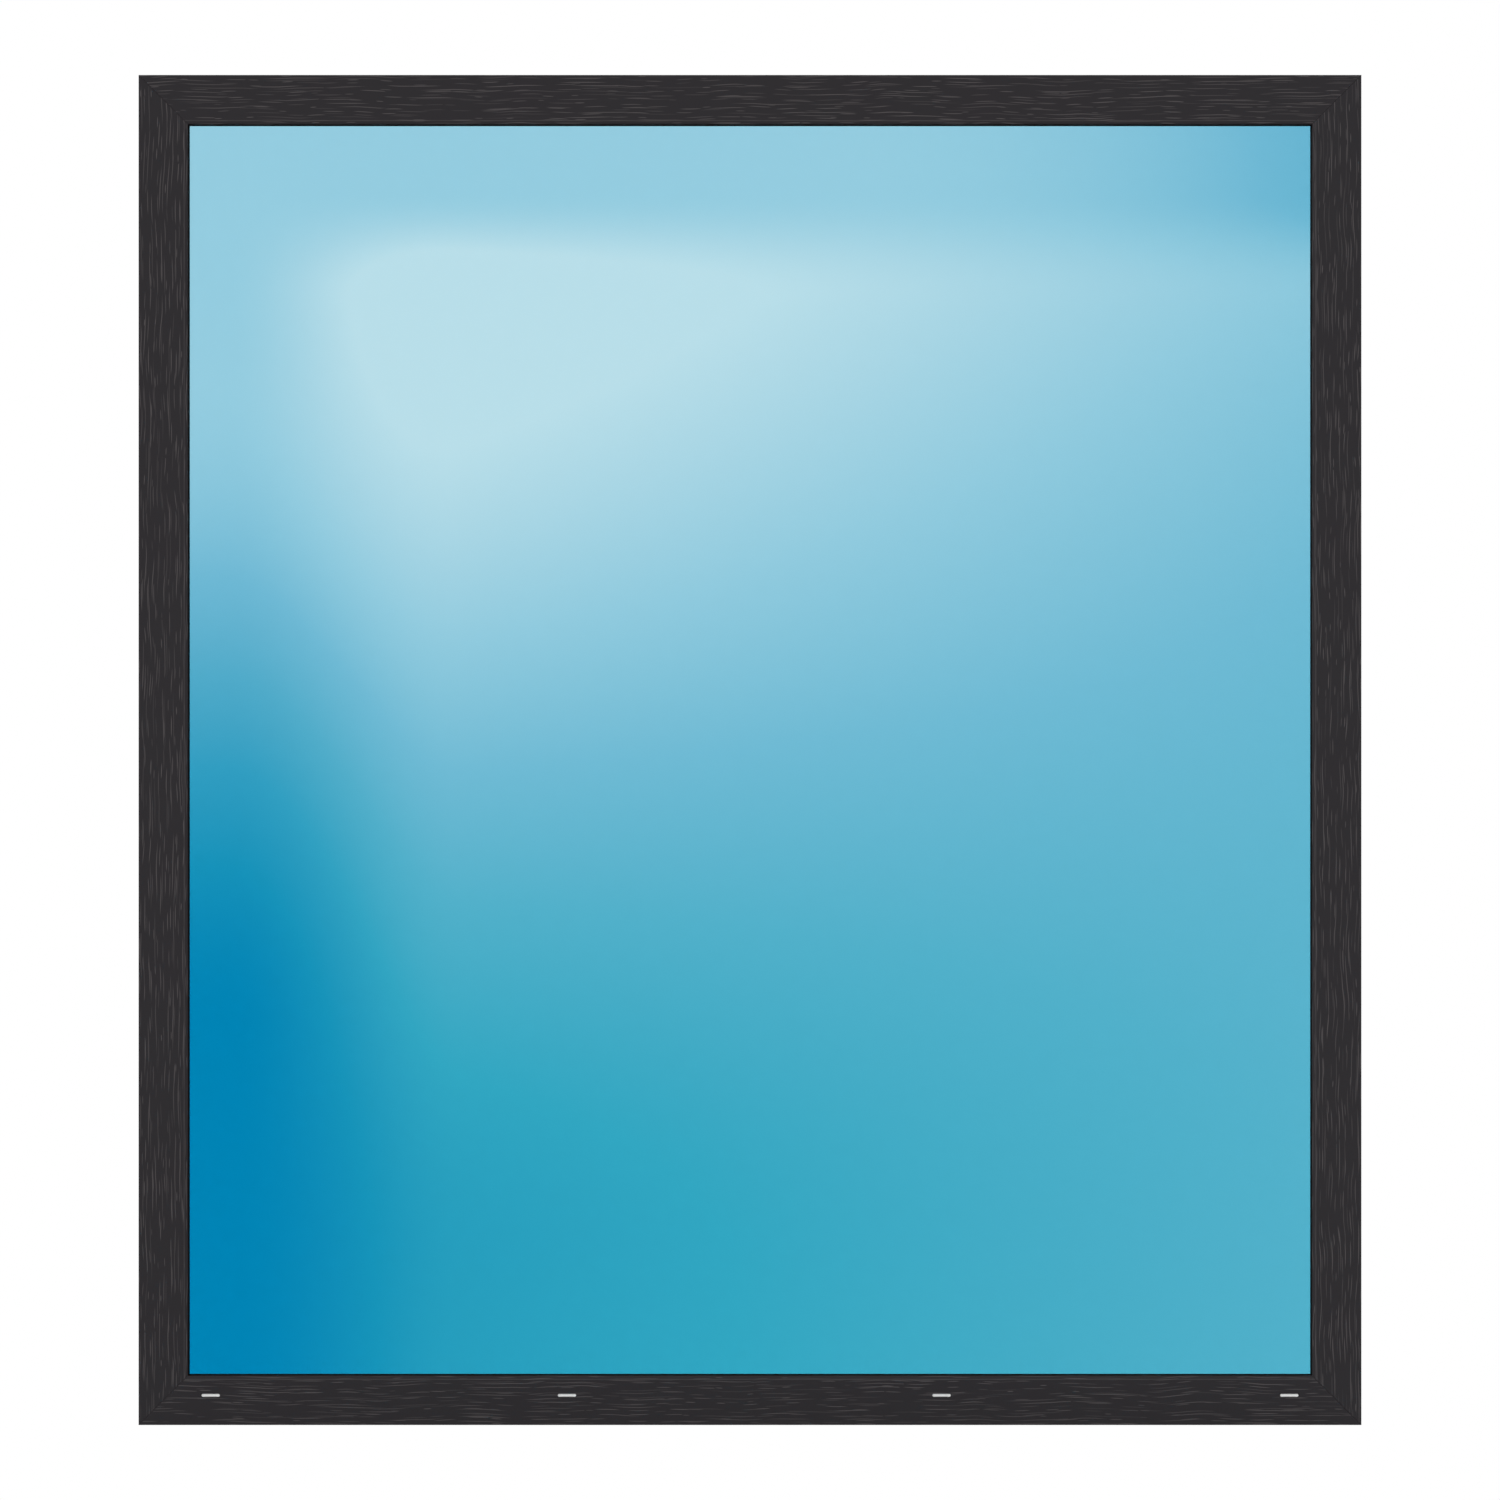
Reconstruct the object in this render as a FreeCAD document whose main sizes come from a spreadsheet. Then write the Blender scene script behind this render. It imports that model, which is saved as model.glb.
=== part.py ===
"""Fixed picture window: a welded multi-chamber plastic frame around a double-glazed unit.

The window stands upright. X runs along its width, Y from the outside face to the room side
and Z up. The origin is the middle of the frame's underside.

Every bar of the frame is an extrusion whose section is drawn in two directions: depth, from
the outside face towards the room, and rise, from the bar's back (the face against the wall)
towards the glass. All sizes are millimetres.
"""

import FreeCAD
import Part
import math
import os

import Sketcher

DOC = FreeCAD.newDocument("PictureWindow")

# Places nearer than this are the same, and a cut takes away at least this volume
CLOSE = 1e-4
LEAST_CUT = 1

# Driving sizes: alias, value, what it is
SIZES = [
    ("window_width", 1730, "overall width of the frame"),
    ("window_height", 1910, "overall height of the frame"),
    ("rebate_floor", 47, "rise of the rebate floor that the glass stands over"),
    ("flange_height", 23, "rise of the outer flange above the rebate floor"),
    ("flange_depth", 17, "depth of the outer flange"),
    ("nose_slope", 5.5, "height of the sloped strip on the outside face below the nose"),
    ("nose_fall", 0.6, "how far the sloped strip leans back at the nose"),
    ("seal_gap", 3, "gap between glass and plastic, filled by a seal on each side"),
    ("pane_thickness", 6, "thickness of one pane"),
    ("cavity", 16, "gas space between the panes"),
    ("bead_width", 19, "depth of the glazing bead and its land"),
    ("outer_wall", 3, "wall that faces outdoors or the room"),
    ("back_wall", 2.6, "wall on the bar's back and under the rebate"),
    ("web", 1.6, "wall between two chambers"),
    ("front_chamber", 11.5, "depth of the chamber behind the outside wall"),
    ("thermal_chamber", 6, "depth of the narrow chamber next to the steel"),
    ("inner_chamber", 7, "depth of the chamber behind the room wall"),
    ("hook_inset", 9, "from a face of the frame to the hook groove on its back"),
    ("hook_mouth", 5, "mouth of a hook groove"),
    ("hook_undercut", 1.5, "how far a hook groove widens under each lip"),
    ("hook_lip", 1.8, "thickness of a hook groove's lips"),
    ("hook_depth", 5, "whole depth of a hook groove"),
    ("bead_groove_inset", 3, "from the bead's glass face to the mouth of its groove"),
    ("bead_groove_mouth", 5, "mouth of the bead groove"),
    ("bead_groove_undercut", 1.5, "how far the bead groove widens under each lip"),
    ("bead_groove_lip", 2, "thickness of the bead groove's lips"),
    ("bead_groove_depth", 7, "whole depth of the bead groove"),
    ("gully_width", 6, "width of the gully along the rebate floor"),
    ("gully_drop", 1, "how far the gully lies under the rebate floor"),
    ("drain_rise", 3, "top of the drain chamber above the rebate floor"),
    ("drain_fall", 1, "how far the drain chamber's bottom falls outwards"),
    ("seal_groove_drop", 6, "from the nose down to the middle of the seal groove"),
    ("seal_groove_mouth", 2.4, "mouth of the seal groove"),
    ("seal_groove_undercut", 1, "how far the seal groove widens under each lip"),
    ("seal_groove_lip", 1.2, "thickness of the seal groove's lips"),
    ("seal_groove_depth", 3.2, "whole depth of the seal groove"),
    ("root_clearance", 0.2, "slack of a seal's root or a bead's foot in its groove"),
    ("seal_show", 2.5, "how far the outer seal shows past the frame"),
    ("seal_reach", 10, "how far a seal runs down between glass and plastic"),
    ("seal_lap", 1.5, "how far a seal's tip laps over the plastic"),
    ("seal_round", 1, "rounding of a seal's tip"),
    ("bead_height", 22, "rise of the bead above the rebate floor"),
    ("bead_setback", 0.5, "how far the bead stands back from the room face"),
    ("bead_lip", 4, "upright part of the bead's room face"),
    ("bead_top", 5, "flat top of the bead"),
    ("bead_wall", 1.5, "wall of the bead"),
    ("bead_foot", 2, "thickness of the bead's foot"),
    ("bead_barb", 1, "how far the foot's barb catches under the lip"),
    ("bead_seal_show", 2, "how far the inner seal shows past the bead"),
    ("packer_thickness", 5, "thickness of the glazing packers"),
    ("packer_length", 100, "length of a glazing packer"),
    ("packer_margin", 0.5, "slack beside a packer"),
    ("packer_end", 150, "from the frame's corner to a packer's middle"),
    ("packer_channel", 5, "width of the channels under a packer"),
    ("packer_channel_deep", 1.5, "depth of the channels under a packer"),
    ("sealant_depth", 4, "depth of the sealant round the glass unit's edge"),
    ("spacer_height", 6.5, "height of the spacer bars between the panes"),
    ("spacer_wall", 1, "wall of the spacer bars"),
    ("spacer_bevel", 2, "bevel of the spacer bars' back corners"),
    ("glass_arris", 0.5, "bevel ground on the panes' edges"),
    ("steel_thickness", 1.5, "thickness of the reinforcement steel"),
    ("steel_bend", 1.5, "inside radius of the steel's bends"),
    ("steel_clearance", 0.3, "slack round the steel in its chamber"),
    ("steel_setback", 8, "from the rebate's corner to the end of the steel"),
    ("slot_length", 26, "length of a drain slot on the outside face"),
    ("slot_height", 4, "height of a drain slot on the outside face"),
    ("slot_drop", 5, "from the rebate floor down to the middle of a drain slot"),
    ("slot_end", 102, "from either end of the sill to the middle of an end slot"),
    ("slot_left", 606, "from the sill's left end to the left middle slot"),
    ("slot_right", 594, "from the sill's right end to the right middle slot"),
    ("rebate_slot_length", 28, "length of a drain slot in the rebate gully"),
    ("rebate_slot_width", 4, "width of a drain slot in the rebate gully"),
    ("rebate_slot_shift", 70, "from an outside slot to its rebate slot, towards the middle"),
    ("insert_setback", 0.3, "how far a drain insert stands back from the outside face"),
    ("insert_clearance", 0.2, "slack at each end of a drain insert in its slot"),
    ("insert_wall", 0.5, "wall of a drain insert"),
    ("insert_flap", 1.5, "thickness of a drain insert's flap"),
    ("insert_slit", 0.3, "height of the slit under a drain insert's flap"),
    ("insert_slit_length", 18, "length of the slit under a drain insert's flap"),
    ("fixing_bore", 6.5, "diameter of the holes for frame fixing screws"),
    ("fixing_end", 250, "from the frame's corner to the nearest fixing hole"),
    ("fixing_inner_head", 660, "from the frame's corner to the head's next fixing hole"),
    ("fixing_inner_jamb", 720, "from the frame's corner to a jamb's next fixing hole"),
    ("edge_round", 0.8, "rounding of the frame's long edges"),
    ("nose_round", 2, "rounding of the outer flange's nose"),
    ("bead_round", 1, "rounding of the bead's long edges"),
    ("weld_groove", 0.5, "depth of the trimmed groove along a welded corner"),
]

FIXING_INNER = {
    "head": "Sizes.fixing_inner_head",
    "left": "Sizes.fixing_inner_jamb",
    "right": "Sizes.fixing_inner_jamb",
}


def fill_sheet():
    """Writes the driving sizes to a spreadsheet whose cells have aliases."""
    sheet = DOC.addObject("Spreadsheet::Sheet", "Sizes")
    for row, (alias, size, meaning) in enumerate(SIZES, start=1):
        sheet.set(f"A{row}", meaning)
        sheet.set(f"B{row}", str(size))
        sheet.setAlias(f"B{row}", alias)
    DOC.recompute()
    return sheet


SHEET = fill_sheet()

# Depths, from the outside face towards the room
GLASS_OUT = "(Sizes.flange_depth + Sizes.seal_gap)"
CAVITY_OUT = f"({GLASS_OUT} + Sizes.pane_thickness)"
CAVITY_IN = f"({CAVITY_OUT} + Sizes.cavity)"
GLASS_IN = f"({CAVITY_IN} + Sizes.pane_thickness)"
BEAD_FACE = f"({GLASS_IN} + Sizes.seal_gap)"
ROOM_FACE = f"({BEAD_FACE} + Sizes.bead_width)"
STEEL_FROM = "(Sizes.outer_wall + Sizes.front_chamber + Sizes.thermal_chamber + 2 * Sizes.web)"
STEEL_TO = f"({BEAD_FACE} - Sizes.web)"
FIXING_DEPTH = f"(({STEEL_FROM} + {STEEL_TO}) / 2)"

# Rises, from the bar's back towards the glass
FLOOR = "Sizes.rebate_floor"
NOSE = "(Sizes.rebate_floor + Sizes.flange_height)"
BEAD_TIP = "(Sizes.rebate_floor + Sizes.bead_height)"
GLASS_EDGE = "(Sizes.rebate_floor + Sizes.packer_thickness)"
SPACER_BACK = f"({GLASS_EDGE} + Sizes.sealant_depth)"
SPACER_TIP = f"({SPACER_BACK} + Sizes.spacer_height)"
SLOT_RISE = "(Sizes.rebate_floor - Sizes.slot_drop)"
DRAIN_LOW = f"({SLOT_RISE} - Sizes.slot_height / 2)"
HOOK_ROOF = "(Sizes.hook_depth + Sizes.web)"

# Depths of the chamber walls before and after a hook groove, from the face beside it
BESIDE_HOOK = (
    "(Sizes.hook_inset - Sizes.hook_undercut - Sizes.web)",
    "(Sizes.hook_inset + Sizes.hook_mouth + Sizes.hook_undercut + Sizes.web)",
)

# Middles of the four drain slots along the sill
DRAINS = {
    "left_end": "(Sizes.slot_end - Sizes.window_width / 2)",
    "left_middle": "(Sizes.slot_left - Sizes.window_width / 2)",
    "right_middle": "(Sizes.window_width / 2 - Sizes.slot_right)",
    "right_end": "(Sizes.window_width / 2 - Sizes.slot_end)",
}

# Where each of the four bars lies: its length, its turn about Y and its middle
SIDES = {
    "sill": ("Sizes.window_width", 0, "0", "0"),
    "head": ("Sizes.window_width", 180, "0", "Sizes.window_height"),
    "left": ("Sizes.window_height", 90, "-Sizes.window_width / 2", "Sizes.window_height / 2"),
    "right": ("Sizes.window_height", -90, "Sizes.window_width / 2", "Sizes.window_height / 2"),
}


def value(expression):
    """The number that an expression over the spreadsheet gives."""
    return float(SHEET.evalExpression(expression))


def vector(across, up):
    return FreeCAD.Vector(value(across), value(up), 0)


def new_body(label):
    body = DOC.addObject("PartDesign::Body", label)
    body.Label = label
    return body


def new_sketch(body, role, name, lift="0"):
    """A sketch on one of the body's own origin planes, raised from it by lift."""
    sketch = body.newObject("Sketcher::SketchObject", name)
    plane = next(feature for feature in body.Origin.OriginFeatures if feature.Role == role)
    sketch.AttachmentSupport = (plane, "")
    sketch.MapMode = "FlatFace"
    if lift != "0":
        sketch.setExpression("AttachmentOffset.Base.z", lift)
    DOC.recompute()
    return sketch


def pin_point(sketch, geometry, point, across, up):
    """Ties a point of a sketch to its place, given as two expressions."""
    for kind, axis, expression in (("DistanceX", -2, across), ("DistanceY", -1, up)):
        place = value(expression)
        if abs(place) < CLOSE:
            sketch.addConstraint(Sketcher.Constraint("PointOnObject", geometry, point, axis))
            continue
        tie = Sketcher.Constraint(kind, -1, 1, geometry, point, place)
        sketch.setExpression(f"Constraints[{sketch.addConstraint(tie)}]", expression)


def draw_loop(sketch, corners):
    """A closed outline of straight lines through corners given as expressions."""
    first = sketch.GeometryCount
    count = len(corners)
    points = [vector(*corner) for corner in corners]
    for number in range(count):
        sketch.addGeometry(Part.LineSegment(points[number], points[(number + 1) % count]), False)
    for number in range(count):
        following = first + (number + 1) % count
        sketch.addConstraint(Sketcher.Constraint("Coincident", first + number, 2, following, 1))
    for number, corner in enumerate(corners):
        pin_point(sketch, first + number, 1, *corner)


def draw_slot(sketch, middle, up, length, width):
    """A slot with round ends, lying across, about a middle given as expressions."""
    half = f"(({length} - {width}) / 2)"
    ends = [f"({middle} - {half})", f"({middle} + {half})"]
    radius = value(width) / 2
    left, right = (vector(end, up) for end in ends)
    rise = FreeCAD.Vector(0, radius, 0)
    normal = FreeCAD.Vector(0, 0, 1)
    quarter = math.pi / 2
    first = sketch.GeometryCount
    sketch.addGeometry(
        Part.ArcOfCircle(Part.Circle(left, normal, radius), quarter, 3 * quarter), False
    )
    sketch.addGeometry(Part.LineSegment(left - rise, right - rise), False)
    sketch.addGeometry(Part.ArcOfCircle(Part.Circle(right, normal, radius), -quarter, quarter), False)
    sketch.addGeometry(Part.LineSegment(right + rise, left + rise), False)
    for number in range(4):
        following = first + (number + 1) % 4
        sketch.addConstraint(Sketcher.Constraint("Tangent", first + number, 2, following, 1))
    for arc, end in zip((first, first + 2), ends):
        pin_point(sketch, arc, 3, end, up)
        tie = sketch.addConstraint(Sketcher.Constraint("Radius", arc, radius))
        sketch.setExpression(f"Constraints[{tie}]", f"{width} / 2")


def draw_hole(sketch, across, up, diameter):
    """A round hole about a middle given as expressions."""
    circle = Part.Circle(vector(across, up), FreeCAD.Vector(0, 0, 1), value(diameter) / 2)
    number = sketch.addGeometry(circle, False)
    pin_point(sketch, number, 3, across, up)
    tie = sketch.addConstraint(Sketcher.Constraint("Radius", number, value(diameter) / 2))
    sketch.setExpression(f"Constraints[{tie}]", f"{diameter} / 2")


def pad_both_ways(body, sketch, length):
    """Extrudes a section the same way to both sides of its plane."""
    pad = body.newObject("PartDesign::Pad", "Length")
    pad.Profile = sketch
    pad.Midplane = True
    pad.setExpression("Length", length)
    DOC.recompute()
    return pad


def pad_inwards(body, sketch, depth):
    """Extrudes a sketch of the front from its plane towards the room."""
    pad = body.newObject("PartDesign::Pad", "Depth")
    pad.Profile = sketch
    pad.Reversed = True
    pad.setExpression("Length", depth)
    DOC.recompute()
    return pad


def cut(body, sketch, name, depth=None):
    """Cuts a sketch against its normal, to a depth or right through, and checks that it cut."""
    before = body.Shape.Volume
    pocket = body.newObject("PartDesign::Pocket", name)
    pocket.Profile = sketch
    if depth is None:
        pocket.Type = "ThroughAll"
    else:
        pocket.setExpression("Length", depth)
    DOC.recompute()
    if pocket.Shape.Volume > before - LEAST_CUT:
        raise RuntimeError(f"{body.Label}: {name} cut nothing")
    return pocket


def cut_mitres(body, length):
    """Cuts both ends of a bar at 45 degrees, through the corner of the frame."""
    reach = f"({NOSE} + 2 * Sizes.seal_show + Sizes.bead_seal_show)"
    sketch = new_sketch(body, "XZ_Plane", "MitreLines")
    for sign in ("", "-"):
        end, inner = f"{sign}({length} / 2)", f"{sign}({length} / 2 - {reach})"
        draw_loop(sketch, [(end, "0"), (end, reach), (inner, reach)])
    return cut(body, sketch, "Mitres")


def runs_along(edge):
    """Whether an edge runs along its bar, and not across it or on a mitre."""
    span = edge.Vertexes[-1].Point - edge.Vertexes[0].Point
    return abs(span.x) > abs(span.y) + abs(span.z) + CLOSE


def long_edges(shape, corners):
    """Names of a bar's edges that run along it through corners of its section."""
    names = []
    for corner in corners:
        depth, rise = (value(part) for part in corner)
        for number, edge in enumerate(shape.Edges, start=1):
            middle = (edge.Vertexes[0].Point + edge.Vertexes[-1].Point) / 2
            on_corner = abs(middle.y - depth) < CLOSE and abs(middle.z - rise) < CLOSE
            if on_corner and runs_along(edge):
                names.append(f"Edge{number}")
    if len(names) != len(corners):
        raise RuntimeError(f"found {len(names)} of {len(corners)} long edges")
    return names


def round_edges(body, base, name, corners, radius):
    fillet = body.newObject("PartDesign::Fillet", name)
    fillet.Base = (base, long_edges(base.Shape, corners))
    fillet.setExpression("Radius", radius)
    DOC.recompute()
    return fillet


def groove_welds(body, base, length):
    """Bevels the mitre's edges on the outside and room faces, as the trimmed weld leaves them."""
    half, room, fall = value(length) / 2, value(ROOM_FACE), value("Sizes.nose_fall")
    names = []
    for number, edge in enumerate(base.Shape.Edges, start=1):
        ends = [vertex.Point for vertex in edge.Vertexes]
        on_mitre = all(abs(abs(point.x) + point.z - half) < CLOSE for point in ends)
        outside = all(point.y < fall + CLOSE for point in ends)
        inside = all(point.y > room - CLOSE for point in ends)
        if on_mitre and (outside or inside) and not runs_along(edge):
            names.append(f"Edge{number}")
    bevel = body.newObject("PartDesign::Chamfer", "WeldGrooves")
    bevel.Base = (base, names)
    bevel.setExpression("Size", "Sizes.weld_groove")
    DOC.recompute()
    return bevel


def stand_in_place(body, side):
    """Turns a bar about Y and moves it to its side of the frame."""
    _, turn, across, up = SIDES[side]
    body.Placement.Rotation = FreeCAD.Rotation(FreeCAD.Vector(0, 1, 0), turn)
    body.setExpression("Placement.Base.x", across)
    body.setExpression("Placement.Base.y", f"-{ROOM_FACE} / 2")
    body.setExpression("Placement.Base.z", up)


def bar(label, side, outlines):
    """A bar of one side: a section with its chambers, extruded to the side's length."""
    body = new_body(label)
    sketch = new_sketch(body, "YZ_Plane", "Section")
    for outline in outlines:
        draw_loop(sketch, outline)
    pad_both_ways(body, sketch, SIDES[side][0])
    stand_in_place(body, side)
    return body


def hook_groove(face, sign):
    """Corners of a hook groove on the bar's back, counted from one face of the frame."""
    near = f"({face} {sign} Sizes.hook_inset)"
    far = f"({face} {sign} (Sizes.hook_inset + Sizes.hook_mouth))"
    wide_near = f"({face} {sign} (Sizes.hook_inset - Sizes.hook_undercut))"
    wide_far = f"({face} {sign} (Sizes.hook_inset + Sizes.hook_mouth + Sizes.hook_undercut))"
    lip, roof = "Sizes.hook_lip", "Sizes.hook_depth"
    return [
        (near, "0"), (near, lip), (wide_near, lip), (wide_near, roof),
        (wide_far, roof), (wide_far, lip), (far, lip), (far, "0"),
    ]  # fmt: skip


def bead_groove():
    """Corners of the groove that the bead's foot snaps into, from the room side outwards."""
    near = f"({BEAD_FACE} + Sizes.bead_groove_inset)"
    far = f"({near} + Sizes.bead_groove_mouth)"
    wide_near = f"({near} - Sizes.bead_groove_undercut)"
    wide_far = f"({far} + Sizes.bead_groove_undercut)"
    lip = f"({FLOOR} - Sizes.bead_groove_lip)"
    bottom = f"({FLOOR} - Sizes.bead_groove_depth)"
    return [
        (far, FLOOR), (far, lip), (wide_far, lip), (wide_far, bottom),
        (wide_near, bottom), (wide_near, lip), (near, lip), (near, FLOOR),
    ]  # fmt: skip


def seal_groove():
    """Corners of the groove in the flange that holds the outer seal's root, going up."""
    middle = f"({NOSE} - Sizes.seal_groove_drop)"
    half = "(Sizes.seal_groove_mouth / 2)"
    wide = "(Sizes.seal_groove_mouth / 2 + Sizes.seal_groove_undercut)"
    mouth = "Sizes.flange_depth"
    lip = "(Sizes.flange_depth - Sizes.seal_groove_lip)"
    bottom = "(Sizes.flange_depth - Sizes.seal_groove_depth)"
    return [
        (mouth, f"({middle} - {half})"), (lip, f"({middle} - {half})"),
        (lip, f"({middle} - {wide})"), (bottom, f"({middle} - {wide})"),
        (bottom, f"({middle} + {wide})"), (lip, f"({middle} + {wide})"),
        (lip, f"({middle} + {half})"), (mouth, f"({middle} + {half})"),
    ]  # fmt: skip


def frame_outline():
    """The outside of the frame's section: back, room face, rebate, flange and outside face."""
    gully_edge = "(Sizes.flange_depth + Sizes.gully_width)"
    gully = f"({FLOOR} - Sizes.gully_drop)"
    return [
        ("0", "0"),
        *hook_groove("0", "+"),
        *reversed(hook_groove(ROOM_FACE, "-")),
        (ROOM_FACE, "0"),
        (ROOM_FACE, FLOOR),
        *bead_groove(),
        (gully_edge, FLOOR),
        (gully_edge, gully),
        ("Sizes.flange_depth", gully),
        *seal_groove(),
        ("Sizes.flange_depth", NOSE),
        ("Sizes.nose_fall", NOSE),
        ("0", f"({NOSE} - Sizes.nose_slope)"),
    ]


def flange_chambers():
    """The flange's chamber, notched for the seal groove, and the drain chamber under it."""
    flange_wall = "(Sizes.flange_depth - Sizes.back_wall)"
    behind_seal = "(Sizes.flange_depth - Sizes.seal_groove_depth - Sizes.web)"
    under_seal = (
        f"({NOSE} - Sizes.seal_groove_drop - Sizes.seal_groove_mouth / 2"
        " - Sizes.seal_groove_undercut - Sizes.web)"
    )
    flange_from = f"({FLOOR} + Sizes.drain_rise + Sizes.web)"
    flange_to = f"({NOSE} - Sizes.outer_wall)"
    flange = [
        ("Sizes.outer_wall", flange_from), (flange_wall, flange_from), (flange_wall, under_seal),
        (behind_seal, under_seal), (behind_seal, flange_to), ("Sizes.outer_wall", flange_to),
    ]  # fmt: skip

    drain_end = f"({STEEL_FROM} - Sizes.web)"
    drain_high = f"({DRAIN_LOW} + Sizes.drain_fall)"
    under_gully = f"({FLOOR} - Sizes.gully_drop - Sizes.back_wall)"
    drain_top = f"({FLOOR} + Sizes.drain_rise)"
    drain = [
        ("Sizes.outer_wall", DRAIN_LOW), (drain_end, drain_high), (drain_end, under_gully),
        (flange_wall, under_gully), (flange_wall, drain_top), ("Sizes.outer_wall", drain_top),
    ]  # fmt: skip
    return [flange, drain]


def outdoor_chambers():
    """The two chambers under the drain chamber, stepped round the hook groove."""
    back, under_drain = "Sizes.back_wall", f"({DRAIN_LOW} - Sizes.web)"
    before_hook, after_hook = BESIDE_HOOK
    front_end = "(Sizes.outer_wall + Sizes.front_chamber)"
    thermal_from = f"({front_end} + Sizes.web)"
    thermal_to = f"({STEEL_FROM} - Sizes.web)"
    front = [
        ("Sizes.outer_wall", back), (before_hook, back), (before_hook, HOOK_ROOF),
        (front_end, HOOK_ROOF), (front_end, under_drain), ("Sizes.outer_wall", under_drain),
    ]  # fmt: skip
    thermal = [
        (after_hook, back), (thermal_to, back), (thermal_to, under_drain),
        (thermal_from, under_drain), (thermal_from, HOOK_ROOF), (after_hook, HOOK_ROOF),
    ]  # fmt: skip
    return [front, thermal]


def indoor_chambers():
    """The steel's chamber and two more towards the room, stepped round the hook groove."""
    back, under_floor = "Sizes.back_wall", f"({FLOOR} - Sizes.back_wall)"
    hook_far, hook_near = (f"({ROOM_FACE} - {place})" for place in BESIDE_HOOK)
    steel = box_corners(STEEL_FROM, back, STEEL_TO, under_floor)
    under_bead = f"({FLOOR} - Sizes.bead_groove_depth - Sizes.web)"
    beside_bead = f"({BEAD_FACE} + Sizes.bead_groove_inset + Sizes.bead_groove_mouth"
    beside_bead += " + Sizes.bead_groove_undercut + Sizes.web)"
    room_to = f"({ROOM_FACE} - Sizes.outer_wall)"
    room_from = f"({room_to} - Sizes.inner_chamber)"
    middle_to = f"({room_from} - Sizes.web)"
    middle = [
        (BEAD_FACE, back), (hook_near, back), (hook_near, HOOK_ROOF),
        (middle_to, HOOK_ROOF), (middle_to, under_bead), (BEAD_FACE, under_bead),
    ]  # fmt: skip
    room = [
        (room_from, HOOK_ROOF), (hook_far, HOOK_ROOF), (hook_far, back), (room_to, back),
        (room_to, under_floor), (beside_bead, under_floor), (beside_bead, under_bead),
        (room_from, under_bead),
    ]  # fmt: skip
    return [steel, middle, room]


def box_corners(left, bottom, right, top):
    return [(left, bottom), (right, bottom), (right, top), (left, top)]


def cut_drains(body):
    """Slots through the sill's outside wall, and slots from its rebate gully to the drain chamber."""
    outside = new_sketch(body, "XZ_Plane", "DrainSlots")
    for middle in DRAINS.values():
        draw_slot(outside, middle, SLOT_RISE, "Sizes.slot_length", "Sizes.slot_height")
    cut(body, outside, "OutsideDrains", "Sizes.outer_wall + Sizes.web")

    gully = new_sketch(body, "XY_Plane", "GullySlots", lift=FLOOR)
    gully_middle = "(Sizes.flange_depth + Sizes.gully_width / 2)"
    for middle, sign in zip(DRAINS.values(), ("+", "+", "-", "-")):
        shifted = f"({middle} {sign} Sizes.rebate_slot_shift)"
        draw_slot(gully, shifted, gully_middle, "Sizes.rebate_slot_length", "Sizes.rebate_slot_width")
    return cut(body, gully, "GullyDrains", "Sizes.gully_drop + Sizes.back_wall + Sizes.web")


def cut_fixings(body, side):
    """Four holes for frame fixing screws, square to the bar's back. The sill has none: it drains."""
    if side == "sill":
        return
    sketch = new_sketch(body, "XY_Plane", "FixingHoles", lift=NOSE)
    for place in ("Sizes.fixing_end", FIXING_INNER[side]):
        for sign in ("", "-"):
            across = f"{sign}({SIDES[side][0]} / 2 - {place})"
            draw_hole(sketch, across, FIXING_DEPTH, "Sizes.fixing_bore")
    cut(body, sketch, "Fixings")


def frame_bar(side):
    """One bar of the welded frame, with its chambers, grooves, drains and fixing holes."""
    label = f"frame_{side}"
    chambers = [*flange_chambers(), *outdoor_chambers(), *indoor_chambers()]
    body = bar(label, side, [frame_outline(), *chambers])
    mitred = cut_mitres(body, SIDES[side][0])
    grooved = groove_welds(body, mitred, SIDES[side][0])
    edges = [("0", "0"), (ROOM_FACE, "0"), (ROOM_FACE, FLOOR)]
    rounded = round_edges(body, grooved, "EdgeRounds", edges, "Sizes.edge_round")
    round_edges(body, rounded, "NoseRound", [("Sizes.nose_fall", NOSE)], "Sizes.nose_round")
    if side == "sill":
        cut_drains(body)
    cut_fixings(body, side)
    return body


def drain_insert(name, middle):
    """A moulding pressed into a drain slot: a shallow tray whose back is a flap with a slit."""
    length = "(Sizes.slot_length - 2 * Sizes.insert_clearance)"
    body = new_body(f"drain_insert_{name}")
    outside = new_sketch(body, "XZ_Plane", "Sleeve")
    draw_slot(outside, middle, SLOT_RISE, length, "Sizes.slot_height")
    pad_inwards(body, outside, "Sizes.outer_wall - Sizes.insert_setback")
    mouth = new_sketch(body, "XZ_Plane", "Mouth")
    mouth_length = f"({length} - 2 * Sizes.insert_wall)"
    mouth_height = "(Sizes.slot_height - 2 * Sizes.insert_wall)"
    draw_slot(mouth, middle, SLOT_RISE, mouth_length, mouth_height)
    cut(body, mouth, "Tray", "Sizes.outer_wall - Sizes.insert_setback - Sizes.insert_flap")
    slit = new_sketch(body, "XZ_Plane", "SlitEdges")
    low = f"({DRAIN_LOW} + Sizes.insert_wall)"
    left, right = (f"({middle} {sign} Sizes.insert_slit_length / 2)" for sign in ("-", "+"))
    draw_loop(slit, box_corners(left, low, right, f"({low} + Sizes.insert_slit)"))
    cut(body, slit, "Slit")
    body.setExpression("Placement.Base.y", f"Sizes.insert_setback - {ROOM_FACE} / 2")
    return body


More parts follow.
